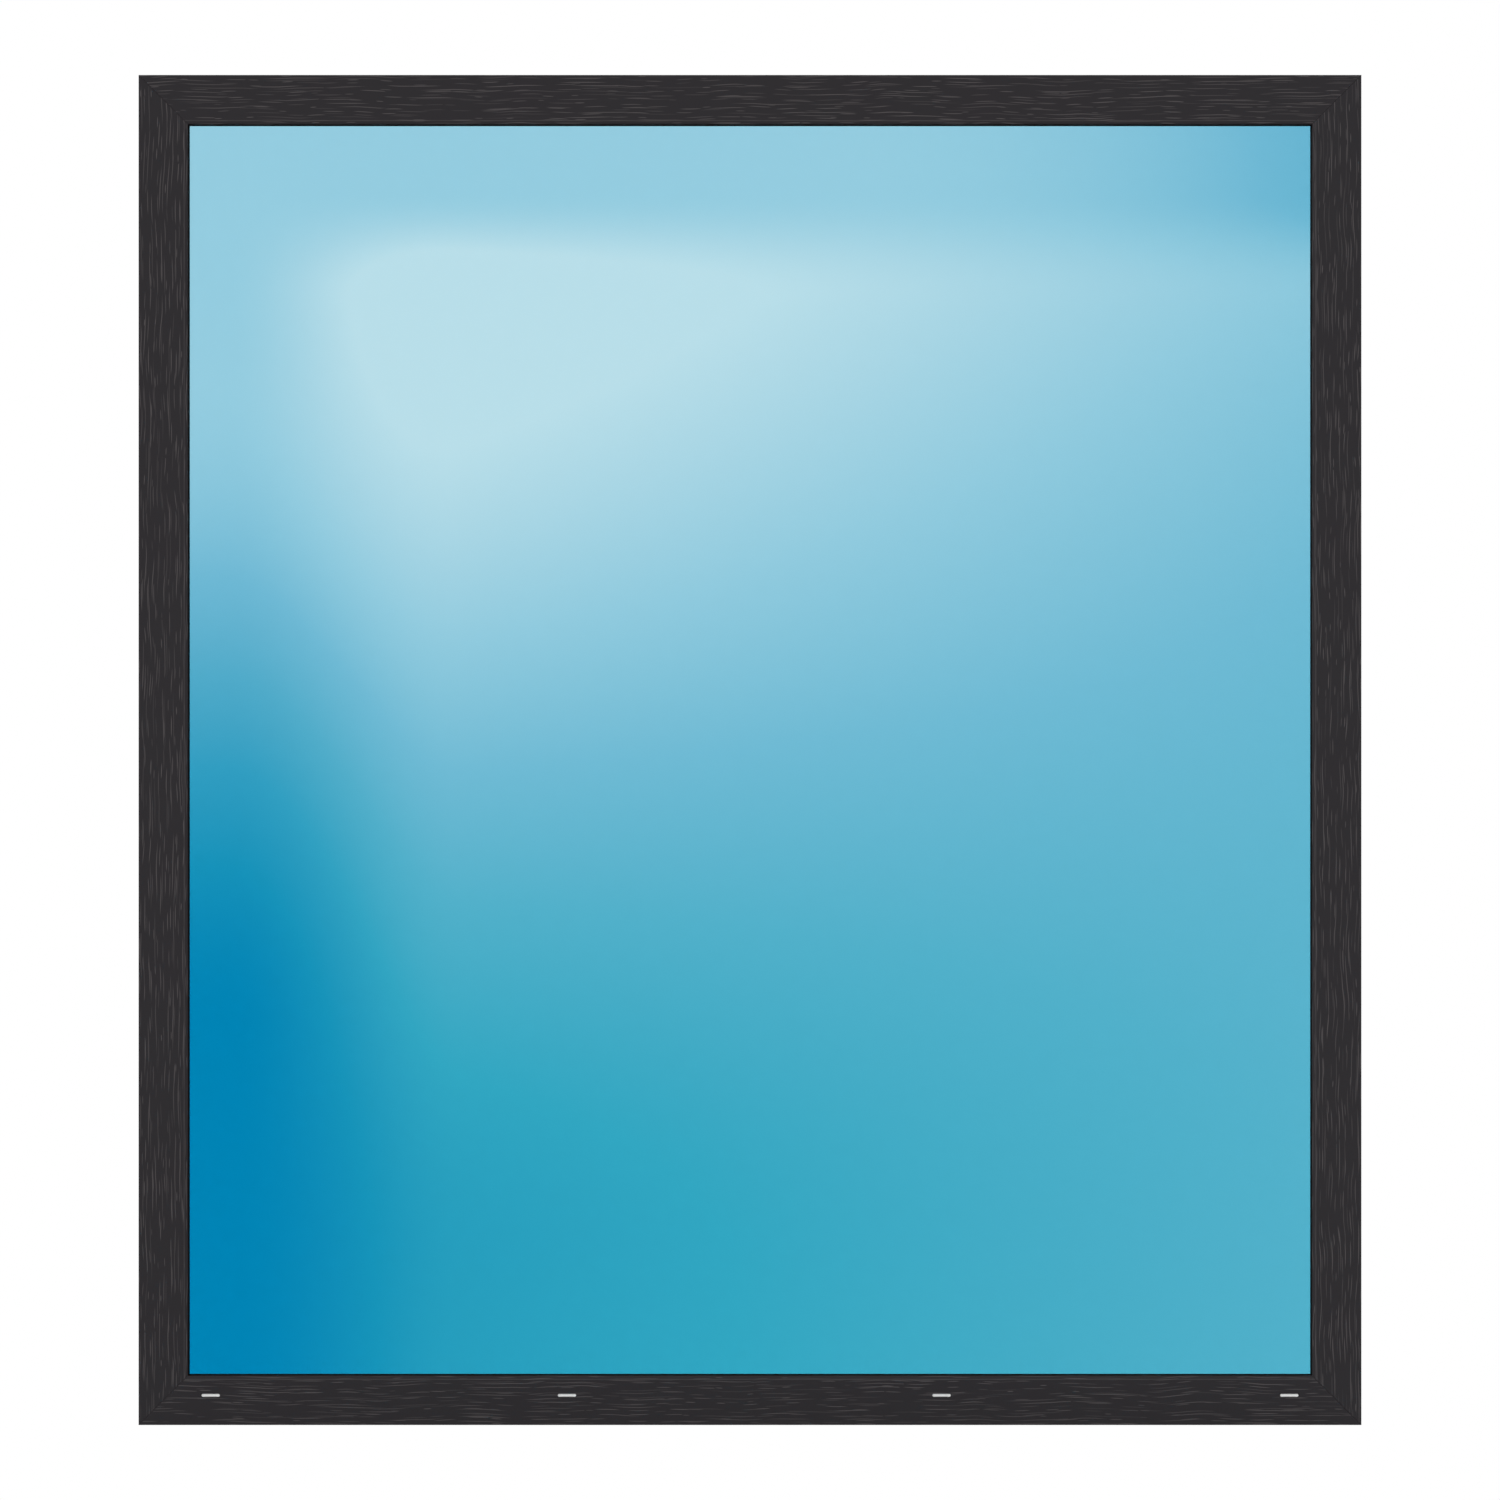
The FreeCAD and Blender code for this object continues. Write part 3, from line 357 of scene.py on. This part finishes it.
def woodgrain(tree, foil, place):
    """Colour of the printed foil, and its grain: 1 in a stroke and 0 beside it."""
    sideways = add(tree, "CombineXYZ", {1: patches(tree, place, foil.sway_cell, detail=1.5)})[0]
    feeds = {0: sideways, 1: (0.0, foil.sway, 0.0), 2: place}
    swayed = add(tree, "VectorMath", feeds, operation="MULTIPLY_ADD")[0]
    longer = strokes(tree, swayed, foil.long_cell, foil.stroke_width)
    shorter = strokes(tree, swayed, foil.short_cell, foil.stroke_width)
    grain = add(tree, "Math", {0: longer, 1: shorter}, operation="MAXIMUM")[0]
    feeds = {"Factor": patches(tree, place, foil.drift), "A": foil.ground, "B": foil.shade}
    ground = add(tree, "Mix", feeds, data_type="RGBA")["Result"]
    feeds = {"Factor": grain, "A": ground, "B": foil.stroke}
    return add(tree, "Mix", feeds, data_type="RGBA")["Result"], grain


def finish_foiled_vinyl(tree, foil, place, covered, colour, grain):
    """Closes a material that is foil where covered is 1 and smooth white vinyl where it is 0."""
    feeds = {"Factor": patches(tree, place, foil.die_line), "A": foil.core, "B": foil.streak}
    core = add(tree, "Mix", feeds, data_type="RGBA")["Result"]
    feeds = {"Factor": covered, "A": core, "B": colour}
    surface = add(tree, "Mix", feeds, data_type="RGBA")["Result"]
    roughness = add(tree, "MapRange", ramp(covered, 0.0, 1.0, *FRAME_ROUGHNESS))[0]
    feeds = {0: patches(tree, place, foil.ridge), 1: RIDGE_SHARE, 2: grain}
    dents = add(tree, "Math", feeds, operation="MULTIPLY_ADD")[0]
    dents = add(tree, "Math", {0: dents, 1: covered}, operation="MULTIPLY")[0]
    relief = add(tree, "Bump", {"Height": dents, "Distance": foil.press}, invert=True)[0]
    finish_material(
        tree,
        {
            "Base Color": surface,
            "Roughness": roughness,
            "Specular IOR Level": 0.2,
            "Normal": relief,
        },
    )


class WINDOW_OT_frame_bars(bpy.types.Operator):
    """Woodgrain foil over white vinyl on the four welded frame bars"""

    bl_idname = "window.frame_bars"
    bl_label = "Frame Bars"

    # Rigid vinyl, extruded white and laminated with printed, embossed foil on the faces that
    # show. The foil is matte and black-brown with thin grey strokes, and its ridges are drawn
    # twice as wide as real ones. The backs against the wall stay white, streaked by the die.
    def execute(self, context):
        foil = context.scene.window_foil
        for number, side in enumerate(SIDES):
            material, tree = new_material(f"woodgrain_foil_on_white_vinyl_{side}")
            run, rise, depth = bar_coordinates(tree, side)
            near = nearest_face(tree, depth)
            place = foil_place(tree, run, rise, near, number)
            colour, grain = woodgrain(tree, foil, place)
            # Painted highlight: a pale line along the nose's bend.
            colour = self.painted_bend_highlight(tree, foil, place, rise, colour)
            colour = self.inked_corners(tree, foil, side, run, rise, colour)
            covered = self.covered(tree, foil, rise, near)
            finish_foiled_vinyl(tree, foil, place, covered, colour, grain)
            assign(f"frame_{side}", material)
        return {"FINISHED"}

    def painted_bend_highlight(self, tree, foil, place, rise, colour):
        """The colour with a faint painted highlight: a pale line along the nose's bend, where the
        face starts to round, stronger in some lengths than others.
        """
        patchy = patches(tree, place, foil.highlight_patches)
        highlight_patches = add(tree, "MapRange", ramp(patchy, 0.0, 1.0, *BEND_HIGHLIGHT))[0]
        feeds = {0: rise, 1: foil.bend, 2: foil.highlight_width / 2}
        line = add(tree, "Math", feeds, operation="COMPARE")[0]
        pale = add(tree, "Math", {0: line, 1: highlight_patches}, operation="MULTIPLY")[0]
        feeds = {"Factor": pale, "A": colour, "B": foil.stroke}
        return add(tree, "Mix", feeds, data_type="RGBA")["Result"]

    def inked_corners(self, tree, foil, side, run, rise, colour):
        """The colour with a thin line of ink in the groove that trimming the welds leaves."""
        low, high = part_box(f"frame_{side}")
        half = max(high - low) / 2
        out = add(tree, "Math", {0: run}, operation="ABSOLUTE")[0]
        reach = add(tree, "Math", {0: out, 1: rise}, operation="ADD")[0]
        feeds = {0: reach, 1: half, 2: foil.ink_width / 2}
        line = add(tree, "Math", feeds, operation="COMPARE")[0]
        feeds = {"Factor": line, "A": colour, "B": foil.ink}
        return add(tree, "Mix", feeds, data_type="RGBA")["Result"]

    def covered(self, tree, foil, rise, near):
        """1 where the foil covers a bar: its two faces, its back edges and its nose."""
        skin = add(tree, "Math", {0: near, 1: foil.skin}, operation="LESS_THAN")[0]
        back = add(tree, "Math", {0: rise, 1: foil.skin}, operation="LESS_THAN")[0]
        wrap = add(tree, "Math", {0: near, 1: foil.wrap}, operation="LESS_THAN")[0]
        turned = add(tree, "Math", {0: back, 1: wrap}, operation="MULTIPLY")[0]
        nose = add(tree, "Math", {0: rise, 1: foil.nose}, operation="GREATER_THAN")[0]
        faces = add(tree, "Math", {0: skin, 1: turned}, operation="MAXIMUM")[0]
        return add(tree, "Math", {0: faces, 1: nose}, operation="MAXIMUM")[0]


class WINDOW_OT_glazing_beads(bpy.types.Operator):
    """Woodgrain foil over white vinyl on the four glazing beads"""

    bl_idname = "window.glazing_beads"
    bl_label = "Glazing Beads"

    # The same foil on the face, bevel and top of each bead. The foot that snaps into the frame
    # and the face against the glass stay white.
    def execute(self, context):
        foil = context.scene.window_foil
        for number, side in enumerate(SIDES, start=len(SIDES)):
            glass_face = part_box(f"glazing_bead_{side}")[0].y - LOW.y + foil.skin
            material, tree = new_material(f"woodgrain_foil_on_white_vinyl_bead_{side}")
            run, rise, depth = bar_coordinates(tree, side)
            near = nearest_face(tree, depth)
            place = foil_place(tree, run, rise, near, number)
            colour, grain = woodgrain(tree, foil, place)
            room = add(tree, "Math", {0: depth, 1: glass_face}, operation="GREATER_THAN")[0]
            top = add(tree, "Math", {0: rise, 1: foil.nose}, operation="GREATER_THAN")[0]
            covered = add(tree, "Math", {0: room, 1: top}, operation="MAXIMUM")[0]
            finish_foiled_vinyl(tree, foil, place, covered, colour, grain)
            assign(f"glazing_bead_{side}", material)
        return {"FINISHED"}


class WINDOW_OT_seals(bpy.types.Operator):
    """Black rubber of the outer and inner seals"""

    bl_idname = "window.seals"
    bl_label = "Seals"

    # EPDM rubber, extruded and cured: deep black, nearly matte, with a faint bloom.
    def execute(self, context):
        seals = context.scene.window_seals
        material, tree = new_material("black_extruded_epdm_rubber")
        place = add(tree, "TexCoord")["Object"]
        feeds = {"Vector": place, "Scale": 1 / seals.patch, "Detail": 4.0}
        bloom = add(tree, "TexNoise", feeds)[0]
        feeds = {"Factor": bloom, "A": seals.rubber, "B": seals.bloom}
        colour = add(tree, "Mix", feeds, data_type="RGBA")["Result"]
        roughness = add(tree, "MapRange", ramp(bloom, 0.0, 1.0, *SEAL_ROUGHNESS))[0]
        finish_material(
            tree, {"Base Color": colour, "Roughness": roughness, "Specular IOR Level": 0.1}
        )
        for side in SIDES:
            assign(f"outer_seal_{side}", material)
            assign(f"inner_seal_{side}", material)
        return {"FINISHED"}


class WINDOW_OT_outer_pane(bpy.types.Operator):
    """Blue sun-control glass with a painted sky reflection and a paler painted highlight patch"""

    bl_idname = "window.outer_pane"
    bl_label = "Outer Pane"

    # Float glass with a blue sun-control tint, into which a sky reflection is painted: the blue
    # pales towards the head, so it deepens from head to sill, and a paler patch in it is a painted
    # highlight like the sky. Its metal-oxide coat reflects blue light alone, so it stays saturated.
    def execute(self, context):
        glass = context.scene.window_glass
        material, tree = new_material("blue_float_glass_with_painted_sky_reflection")
        split = add(tree, "SeparateXYZ", {0: add(tree, "TexCoord")["Object"]})
        left, right = PANE_LOW.x + glass.cover, PANE_HIGH.x - glass.cover
        across = add(tree, "MapRange", ramp(split["X"], left, right, 0.0, 1.0))[0]
        top, bottom = PANE_HIGH.z - glass.cover, PANE_LOW.z + glass.cover
        down = add(tree, "MapRange", ramp(split["Z"], top, bottom, 0.0, 1.0))[0]
        inside = self.inside_sky_highlight(tree, across, down)
        feeds = {
            "Factor": inside,
            "A": self.border(tree, across, down),
            "B": self.patch(tree, across, down),
        }
        painted_sky_reflection = add(tree, "Mix", feeds)[0]
        # The base colour carries the painted sky reflection and its painted highlight patch.
        feeds = {
            "Factor": inside,
            "A": self.painted_sky_colour(tree, painted_sky_reflection, BORDER_SKY_REFLECTION_COLOURS),
            "B": self.painted_sky_colour(tree, painted_sky_reflection, PATCH_SKY_HIGHLIGHT_COLOURS),
        }
        finish_material(
            tree,
            {
                "Base Color": add(tree, "Mix", feeds, data_type="RGBA")["Result"],
                "Roughness": 0.0,
                "IOR": 1.5,
                "Specular Tint": glass.sheen,
                "Transmission Weight": 1.0,
            },
        )
        assign("outer_pane", material)
        return {"FINISHED"}

    def border(self, tree, across, down):
        """Strength of the painted sky reflection outside the patch: it falls towards the sill and
        the top right corner.
        """
        fall = add(tree, "MapRange", ramp(down, *BORDER_DOWN), **SMOOTH)[0]
        corner = add(tree, "MapRange", ramp(across, *CORNER_ACROSS))[0]
        corner = add(tree, "Math", {0: corner, 1: 2.0}, operation="POWER")[0]
        return add(tree, "Math", {0: fall, 1: corner}, operation="SUBTRACT")[0]

    def patch(self, tree, across, down):
        """Strength of the painted sky reflection in the patch, a painted highlight: steep from head
        to sill at its left, gentle at its right.
        """
        left = add(tree, "MapRange", ramp(down, *PATCH_DOWN), **SMOOTH)[0]
        up = add(tree, "Math", {0: 1.0, 1: down}, operation="SUBTRACT")[0]
        up = add(tree, "Math", {0: up, 1: 2.0}, operation="POWER")[0]
        feeds = {0: up, 1: PATCH_RIGHT_RISE, 2: PATCH_RIGHT}
        right = add(tree, "Math", feeds, operation="MULTIPLY_ADD")[0]
        return add(tree, "Mix", {"Factor": across, "A": left, "B": right})[0]

    def inside_sky_highlight(self, tree, across, down):
        """1 inside the patch of painted highlight and 0 outside it, with soft edges at its left and
        top.
        """
        left = add(tree, "MapRange", ramp(across, *PATCH_LEFT_EDGE), **SMOOTH)[0]
        top = add(tree, "MapRange", ramp(down, *PATCH_TOP_EDGE), **SMOOTH)[0]
        return add(tree, "Math", {0: left, 1: top}, operation="MULTIPLY")[0]

    def painted_sky_colour(self, tree, painted_sky_reflection, sky_stops):
        """The colour of the painted sky reflection for a strength of it, from the listed colour
        stops.
        """
        colour = add(tree, "ValToRGB", {"Fac": painted_sky_reflection})["Color"]
        stops = colour.node.color_ramp.elements
        while len(stops) < len(sky_stops):
            stops.new(stops[-1].position)
        for stop, (position, code) in zip(stops, sky_stops):
            stop.position = position
            stop.color = linear(code)
        return colour


class WINDOW_OT_inner_pane(bpy.types.Operator):
    """Clear float glass of the inner pane"""

    bl_idname = "window.inner_pane"
    bl_label = "Inner Pane"

    # Clear float glass: nearly colourless, with the plain shine of glass.
    def execute(self, context):
        glass = context.scene.window_glass
        material, tree = new_material("clear_float_glass")
        finish_material(
            tree,
            {
                "Base Color": glass.clear,
                "Roughness": 0.0,
                "IOR": 1.5,
                "Transmission Weight": 1.0,
            },
        )
        assign("inner_pane", material)
        return {"FINISHED"}


class WINDOW_OT_spacers(bpy.types.Operator):
    """Black spacer bars between the panes, with vent holes"""

    bl_idname = "window.spacers"
    bl_label = "Spacers"

    # Warm-edge spacer bar, extruded from glass-filled plastic: black and satin, with two rows of
    # vent holes on the side that shows between the panes. Real holes are half as wide.
    def execute(self, context):
        edge = context.scene.window_unit_edge
        for side in SIDES:
            material, tree = new_material(f"black_extruded_glass_filled_plastic_{side}")
            vent = self.vents(tree, edge, side)
            # Painted shade: dark dots where the vent holes are, with a bump.
            feeds = {"Factor": vent, "A": edge.spacer, "B": edge.vent}
            colour = add(tree, "Mix", feeds, data_type="RGBA")["Result"]
            feeds = {"Height": vent, "Distance": edge.vent_depth}
            relief = add(tree, "Bump", feeds, invert=True)[0]
            finish_material(tree, {"Base Color": colour, "Roughness": 0.42, "Normal": relief})
            assign(f"spacer_{side}", material)
        return {"FINISHED"}

    def vents(self, tree, edge, side):
        """1 in a vent hole and 0 beside it."""
        low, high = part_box(f"spacer_{side}")
        middle = (low.y + high.y) / 2 - LOW.y
        run, _, depth = bar_coordinates(tree, side)
        along = add(tree, "Math", {0: run, 1: edge.vent_pitch / 2}, operation="PINGPONG")[0]
        across = add(tree, "Math", {0: depth, 1: middle}, operation="SUBTRACT")[0]
        across = add(tree, "Math", {0: across}, operation="ABSOLUTE")[0]
        across = add(tree, "Math", {0: across, 1: edge.vent_row}, operation="SUBTRACT")[0]
        offset = add(tree, "CombineXYZ", {0: along, 1: across})[0]
        reach = add(tree, "VectorMath", {0: offset}, operation="LENGTH")["Value"]
        return add(tree, "Math", {0: reach, 1: edge.vent_size / 2}, operation="LESS_THAN")[0]


class WINDOW_OT_edge_sealant(bpy.types.Operator):
    """Black sealant round the glass unit's edge"""

    bl_idname = "window.edge_sealant"
    bl_label = "Edge Sealant"

    # Polysulphide sealant, gunned into the unit's edge and struck off with a knife: black-grey
    # and matte, with shallow knife marks.
    def execute(self, context):
        edge = context.scene.window_unit_edge
        material, tree = new_material("black_polysulphide_sealant")
        place = add(tree, "TexCoord")["Object"]
        feeds = {"Vector": place, "Scale": 1 / edge.smear_size, "Detail": 3.0}
        smear = add(tree, "TexNoise", feeds)[0]
        feeds = {"Factor": smear, "A": edge.sealant, "B": edge.smear}
        colour = add(tree, "Mix", feeds, data_type="RGBA")["Result"]
        relief = add(tree, "Bump", {"Height": smear, "Distance": edge.smear_depth})[0]
        finish_material(tree, {"Base Color": colour, "Roughness": 0.7, "Normal": relief})
        for side in SIDES:
            assign(f"edge_sealant_{side}", material)
        return {"FINISHED"}


class WINDOW_OT_packers(bpy.types.Operator):
    """Blue ribbed packers round the glass unit"""

    bl_idname = "window.packers"
    bl_label = "Packers"

    # Injection-moulded polypropylene, blue for its thickness, waxy, with shallow cross ribs.
    def execute(self, context):
        edge = context.scene.window_unit_edge
        for side, places in PACKERS.items():
            material, tree = new_material(f"blue_moulded_polypropylene_{side}")
            run = bar_coordinates(tree, side)[0]
            wave = add(tree, "Math", {0: run, 1: edge.rib / 2}, operation="PINGPONG")[0]
            flank_start, flank_end = (share * edge.rib for share in RIB_FLANK)
            rib = add(tree, "MapRange", ramp(wave, flank_start, flank_end, 0.0, 1.0))[0]
            # Painted shade: the blue darkens between the ribs.
            feeds = {"Factor": rib, "A": edge.packer_dip_shade, "B": edge.packer}
            colour = add(tree, "Mix", feeds, data_type="RGBA")["Result"]
            relief = add(tree, "Bump", {"Height": rib, "Distance": edge.rib_height})[0]
            finish_material(tree, {"Base Color": colour, "Roughness": 0.38, "Normal": relief})
            for place in places:
                assign(f"packer_{side}_{place}", material)
        return {"FINISHED"}


class WINDOW_OT_drain_inserts(bpy.types.Operator):
    """White moulded inserts in the sill's drain slots"""

    bl_idname = "window.drain_inserts"
    bl_label = "Drain Inserts"

    # Injection-moulded polypropylene, white and half matte from a spark-eroded mould. The real
    # spots are a tenth as wide, too fine to show.
    def execute(self, context):
        insert = context.scene.window_insert
        material, tree = new_material("white_moulded_polypropylene")
        place = add(tree, "TexCoord")["Object"]
        grit = add(tree, "TexNoise", {"Vector": place, "Scale": 1 / insert.grit})[0]
        feeds = {"Factor": grit, "A": insert.dull, "B": insert.white}
        colour = add(tree, "Mix", feeds, data_type="RGBA")["Result"]
        relief = add(tree, "Bump", {"Height": grit, "Distance": insert.grit_depth})[0]
        finish_material(tree, {"Base Color": colour, "Roughness": 0.45, "Normal": relief})
        for drain in DRAINS:
            assign(f"drain_insert_{drain}", material)
        return {"FINISHED"}


class WINDOW_OT_reinforcement(bpy.types.Operator):
    """Zinc-coated steel channels inside the frame bars"""

    bl_idname = "window.reinforcement"
    bl_label = "Reinforcement"

    # Steel strip, hot-dip zinc coated and roll-formed: pale grey metal in flat crystals of
    # slightly different brightness and gloss.
    def execute(self, context):
        steel = context.scene.window_steel
        material, tree = new_material("roll_formed_zinc_coated_steel")
        place = add(tree, "TexCoord")["Object"]
        crystals = add(tree, "TexVoronoi", {"Vector": place, "Scale": 1 / steel.crystal})
        shine = add(tree, "SeparateColor", {0: crystals["Color"]})[0]
        feeds = {"Factor": shine, "A": steel.dull, "B": steel.bright}
        colour = add(tree, "Mix", feeds, data_type="RGBA")["Result"]
        roughness = add(tree, "MapRange", ramp(shine, 0.0, 1.0, *STEEL_ROUGHNESS))[0]
        finish_material(tree, {"Base Color": colour, "Metallic": 1.0, "Roughness": roughness})
        for side in SIDES:
            assign(f"reinforcement_{side}", material)
        return {"FINISHED"}


class WINDOW_OT_stage(bpy.types.Operator):
    """Pale floor, soft white light and a straight-on camera"""

    bl_idname = "window.stage"
    bl_label = "Stage"

    def execute(self, context):
        stage = context.scene.window_stage
        self.make_floor(context, stage)
        self.make_world(context, stage)
        self.place_lamps(context, stage)
        self.place_camera(context, stage)
        context.scene.view_settings.view_transform = "Standard"
        return {"FINISHED"}

    # The floor is board under pale matte paint, without a pattern or a shine.
    def make_floor(self, context, stage):
        mesh = bpy.data.meshes.new("floor")
        shape = bmesh.new()
        bmesh.ops.create_grid(shape, x_segments=1, y_segments=1, size=stage.floor_size / 2)
        shape.to_mesh(mesh)
        shape.free()
        floor = bpy.data.objects.new("floor", mesh)
        context.collection.objects.link(floor)
        material, tree = new_material("pale_matte_paint")
        finish_material(tree, {"Base Color": stage.floor, "Roughness": 0.9})
        mesh.materials.append(material)

    def make_world(self, context, stage):
        """White all round: full strength where it is seen, mirrored or seen through glass."""
        world = bpy.data.worlds.new("white_studio")
        world.use_nodes = True
        tree = world.node_tree
        tree.nodes.clear()
        path = add(tree, "LightPath")
        seen = path["Is Camera Ray"]
        for ray in ("Is Glossy Ray", "Is Transmission Ray"):
            seen = add(tree, "Math", {0: seen, 1: path[ray]}, operation="MAXIMUM")[0]
        strength = add(tree, "MapRange", ramp(seen, 0.0, 1.0, stage.sky, 1.0))[0]
        light = add(tree, "Background", {"Color": linear("#FFFFFF"), "Strength": strength})[0]
        add(tree, "OutputWorld", {"Surface": light})
        context.scene.world = world

    def place_lamps(self, context, stage):
        """A low soft lamp outdoors and one in the room, each a little to one side."""
        for name, strength, turn in (
            ("outdoor_lamp", stage.key, OUTDOOR_TURN),
            ("room_lamp", stage.fill, ROOM_TURN),
        ):
            lamp = bpy.data.lights.new(name, "SUN")
            lamp.energy = strength
            lamp.angle = LAMP_SPREAD
            holder = bpy.data.objects.new(name, lamp)
            holder.rotation_euler = (LAMP_TILT, 0, turn)
            context.collection.objects.link(holder)

    def place_camera(self, context, stage):
        """A camera without perspective, straight in front, as in a maker's drawing."""
        camera = bpy.data.objects.new("camera", bpy.data.cameras.new("camera"))
        camera.data.type = "ORTHO"
        camera.data.ortho_scale = stage.picture
        middle = (LOW + HIGH) / 2
        camera.location = (middle.x, LOW.y - stage.distance, middle.z)
        camera.rotation_euler = (math.radians(90), 0, 0)
        context.collection.objects.link(camera)
        context.scene.camera = camera


SETTINGS = {
    "window_foil": FoilSettings,
    "window_seals": SealSettings,
    "window_glass": GlassSettings,
    "window_unit_edge": UnitEdgeSettings,
    "window_insert": InsertSettings,
    "window_steel": SteelSettings,
    "window_stage": StageSettings,
}
OPERATORS = (
    WINDOW_OT_frame_bars,
    WINDOW_OT_glazing_beads,
    WINDOW_OT_seals,
    WINDOW_OT_outer_pane,
    WINDOW_OT_inner_pane,
    WINDOW_OT_spacers,
    WINDOW_OT_edge_sealant,
    WINDOW_OT_packers,
    WINDOW_OT_drain_inserts,
    WINDOW_OT_reinforcement,
    WINDOW_OT_stage,
)


class WINDOW_PT_picture_window(bpy.types.Panel):
    """Lists the settings and operators of the window"""

    bl_idname = "WINDOW_PT_picture_window"
    bl_label = "Picture Window"
    bl_space_type = "VIEW_3D"
    bl_region_type = "UI"
    bl_category = "Window"

    def draw(self, context):
        for name, group in SETTINGS.items():
            for setting in group.__annotations__:
                self.layout.prop(getattr(context.scene, name), setting)
        for operator in OPERATORS:
            self.layout.operator(operator.bl_idname)


def register():
    for name, group in SETTINGS.items():
        bpy.utils.register_class(group)
        setattr(bpy.types.Scene, name, bpy.props.PointerProperty(type=group))
    for member in (*OPERATORS, WINDOW_PT_picture_window):
        bpy.utils.register_class(member)


def unregister():
    for member in reversed((*OPERATORS, WINDOW_PT_picture_window)):
        bpy.utils.unregister_class(member)
    for name, group in reversed(SETTINGS.items()):
        delattr(bpy.types.Scene, name)
        bpy.utils.unregister_class(group)


def main():
    register()
    bpy.ops.window.frame_bars()
    bpy.ops.window.glazing_beads()
    bpy.ops.window.seals()
    bpy.ops.window.outer_pane()
    bpy.ops.window.inner_pane()
    bpy.ops.window.spacers()
    bpy.ops.window.edge_sealant()
    bpy.ops.window.packers()
    bpy.ops.window.drain_inserts()
    bpy.ops.window.reinforcement()
    bpy.ops.window.stage()


if __name__ == "__main__":
    main()
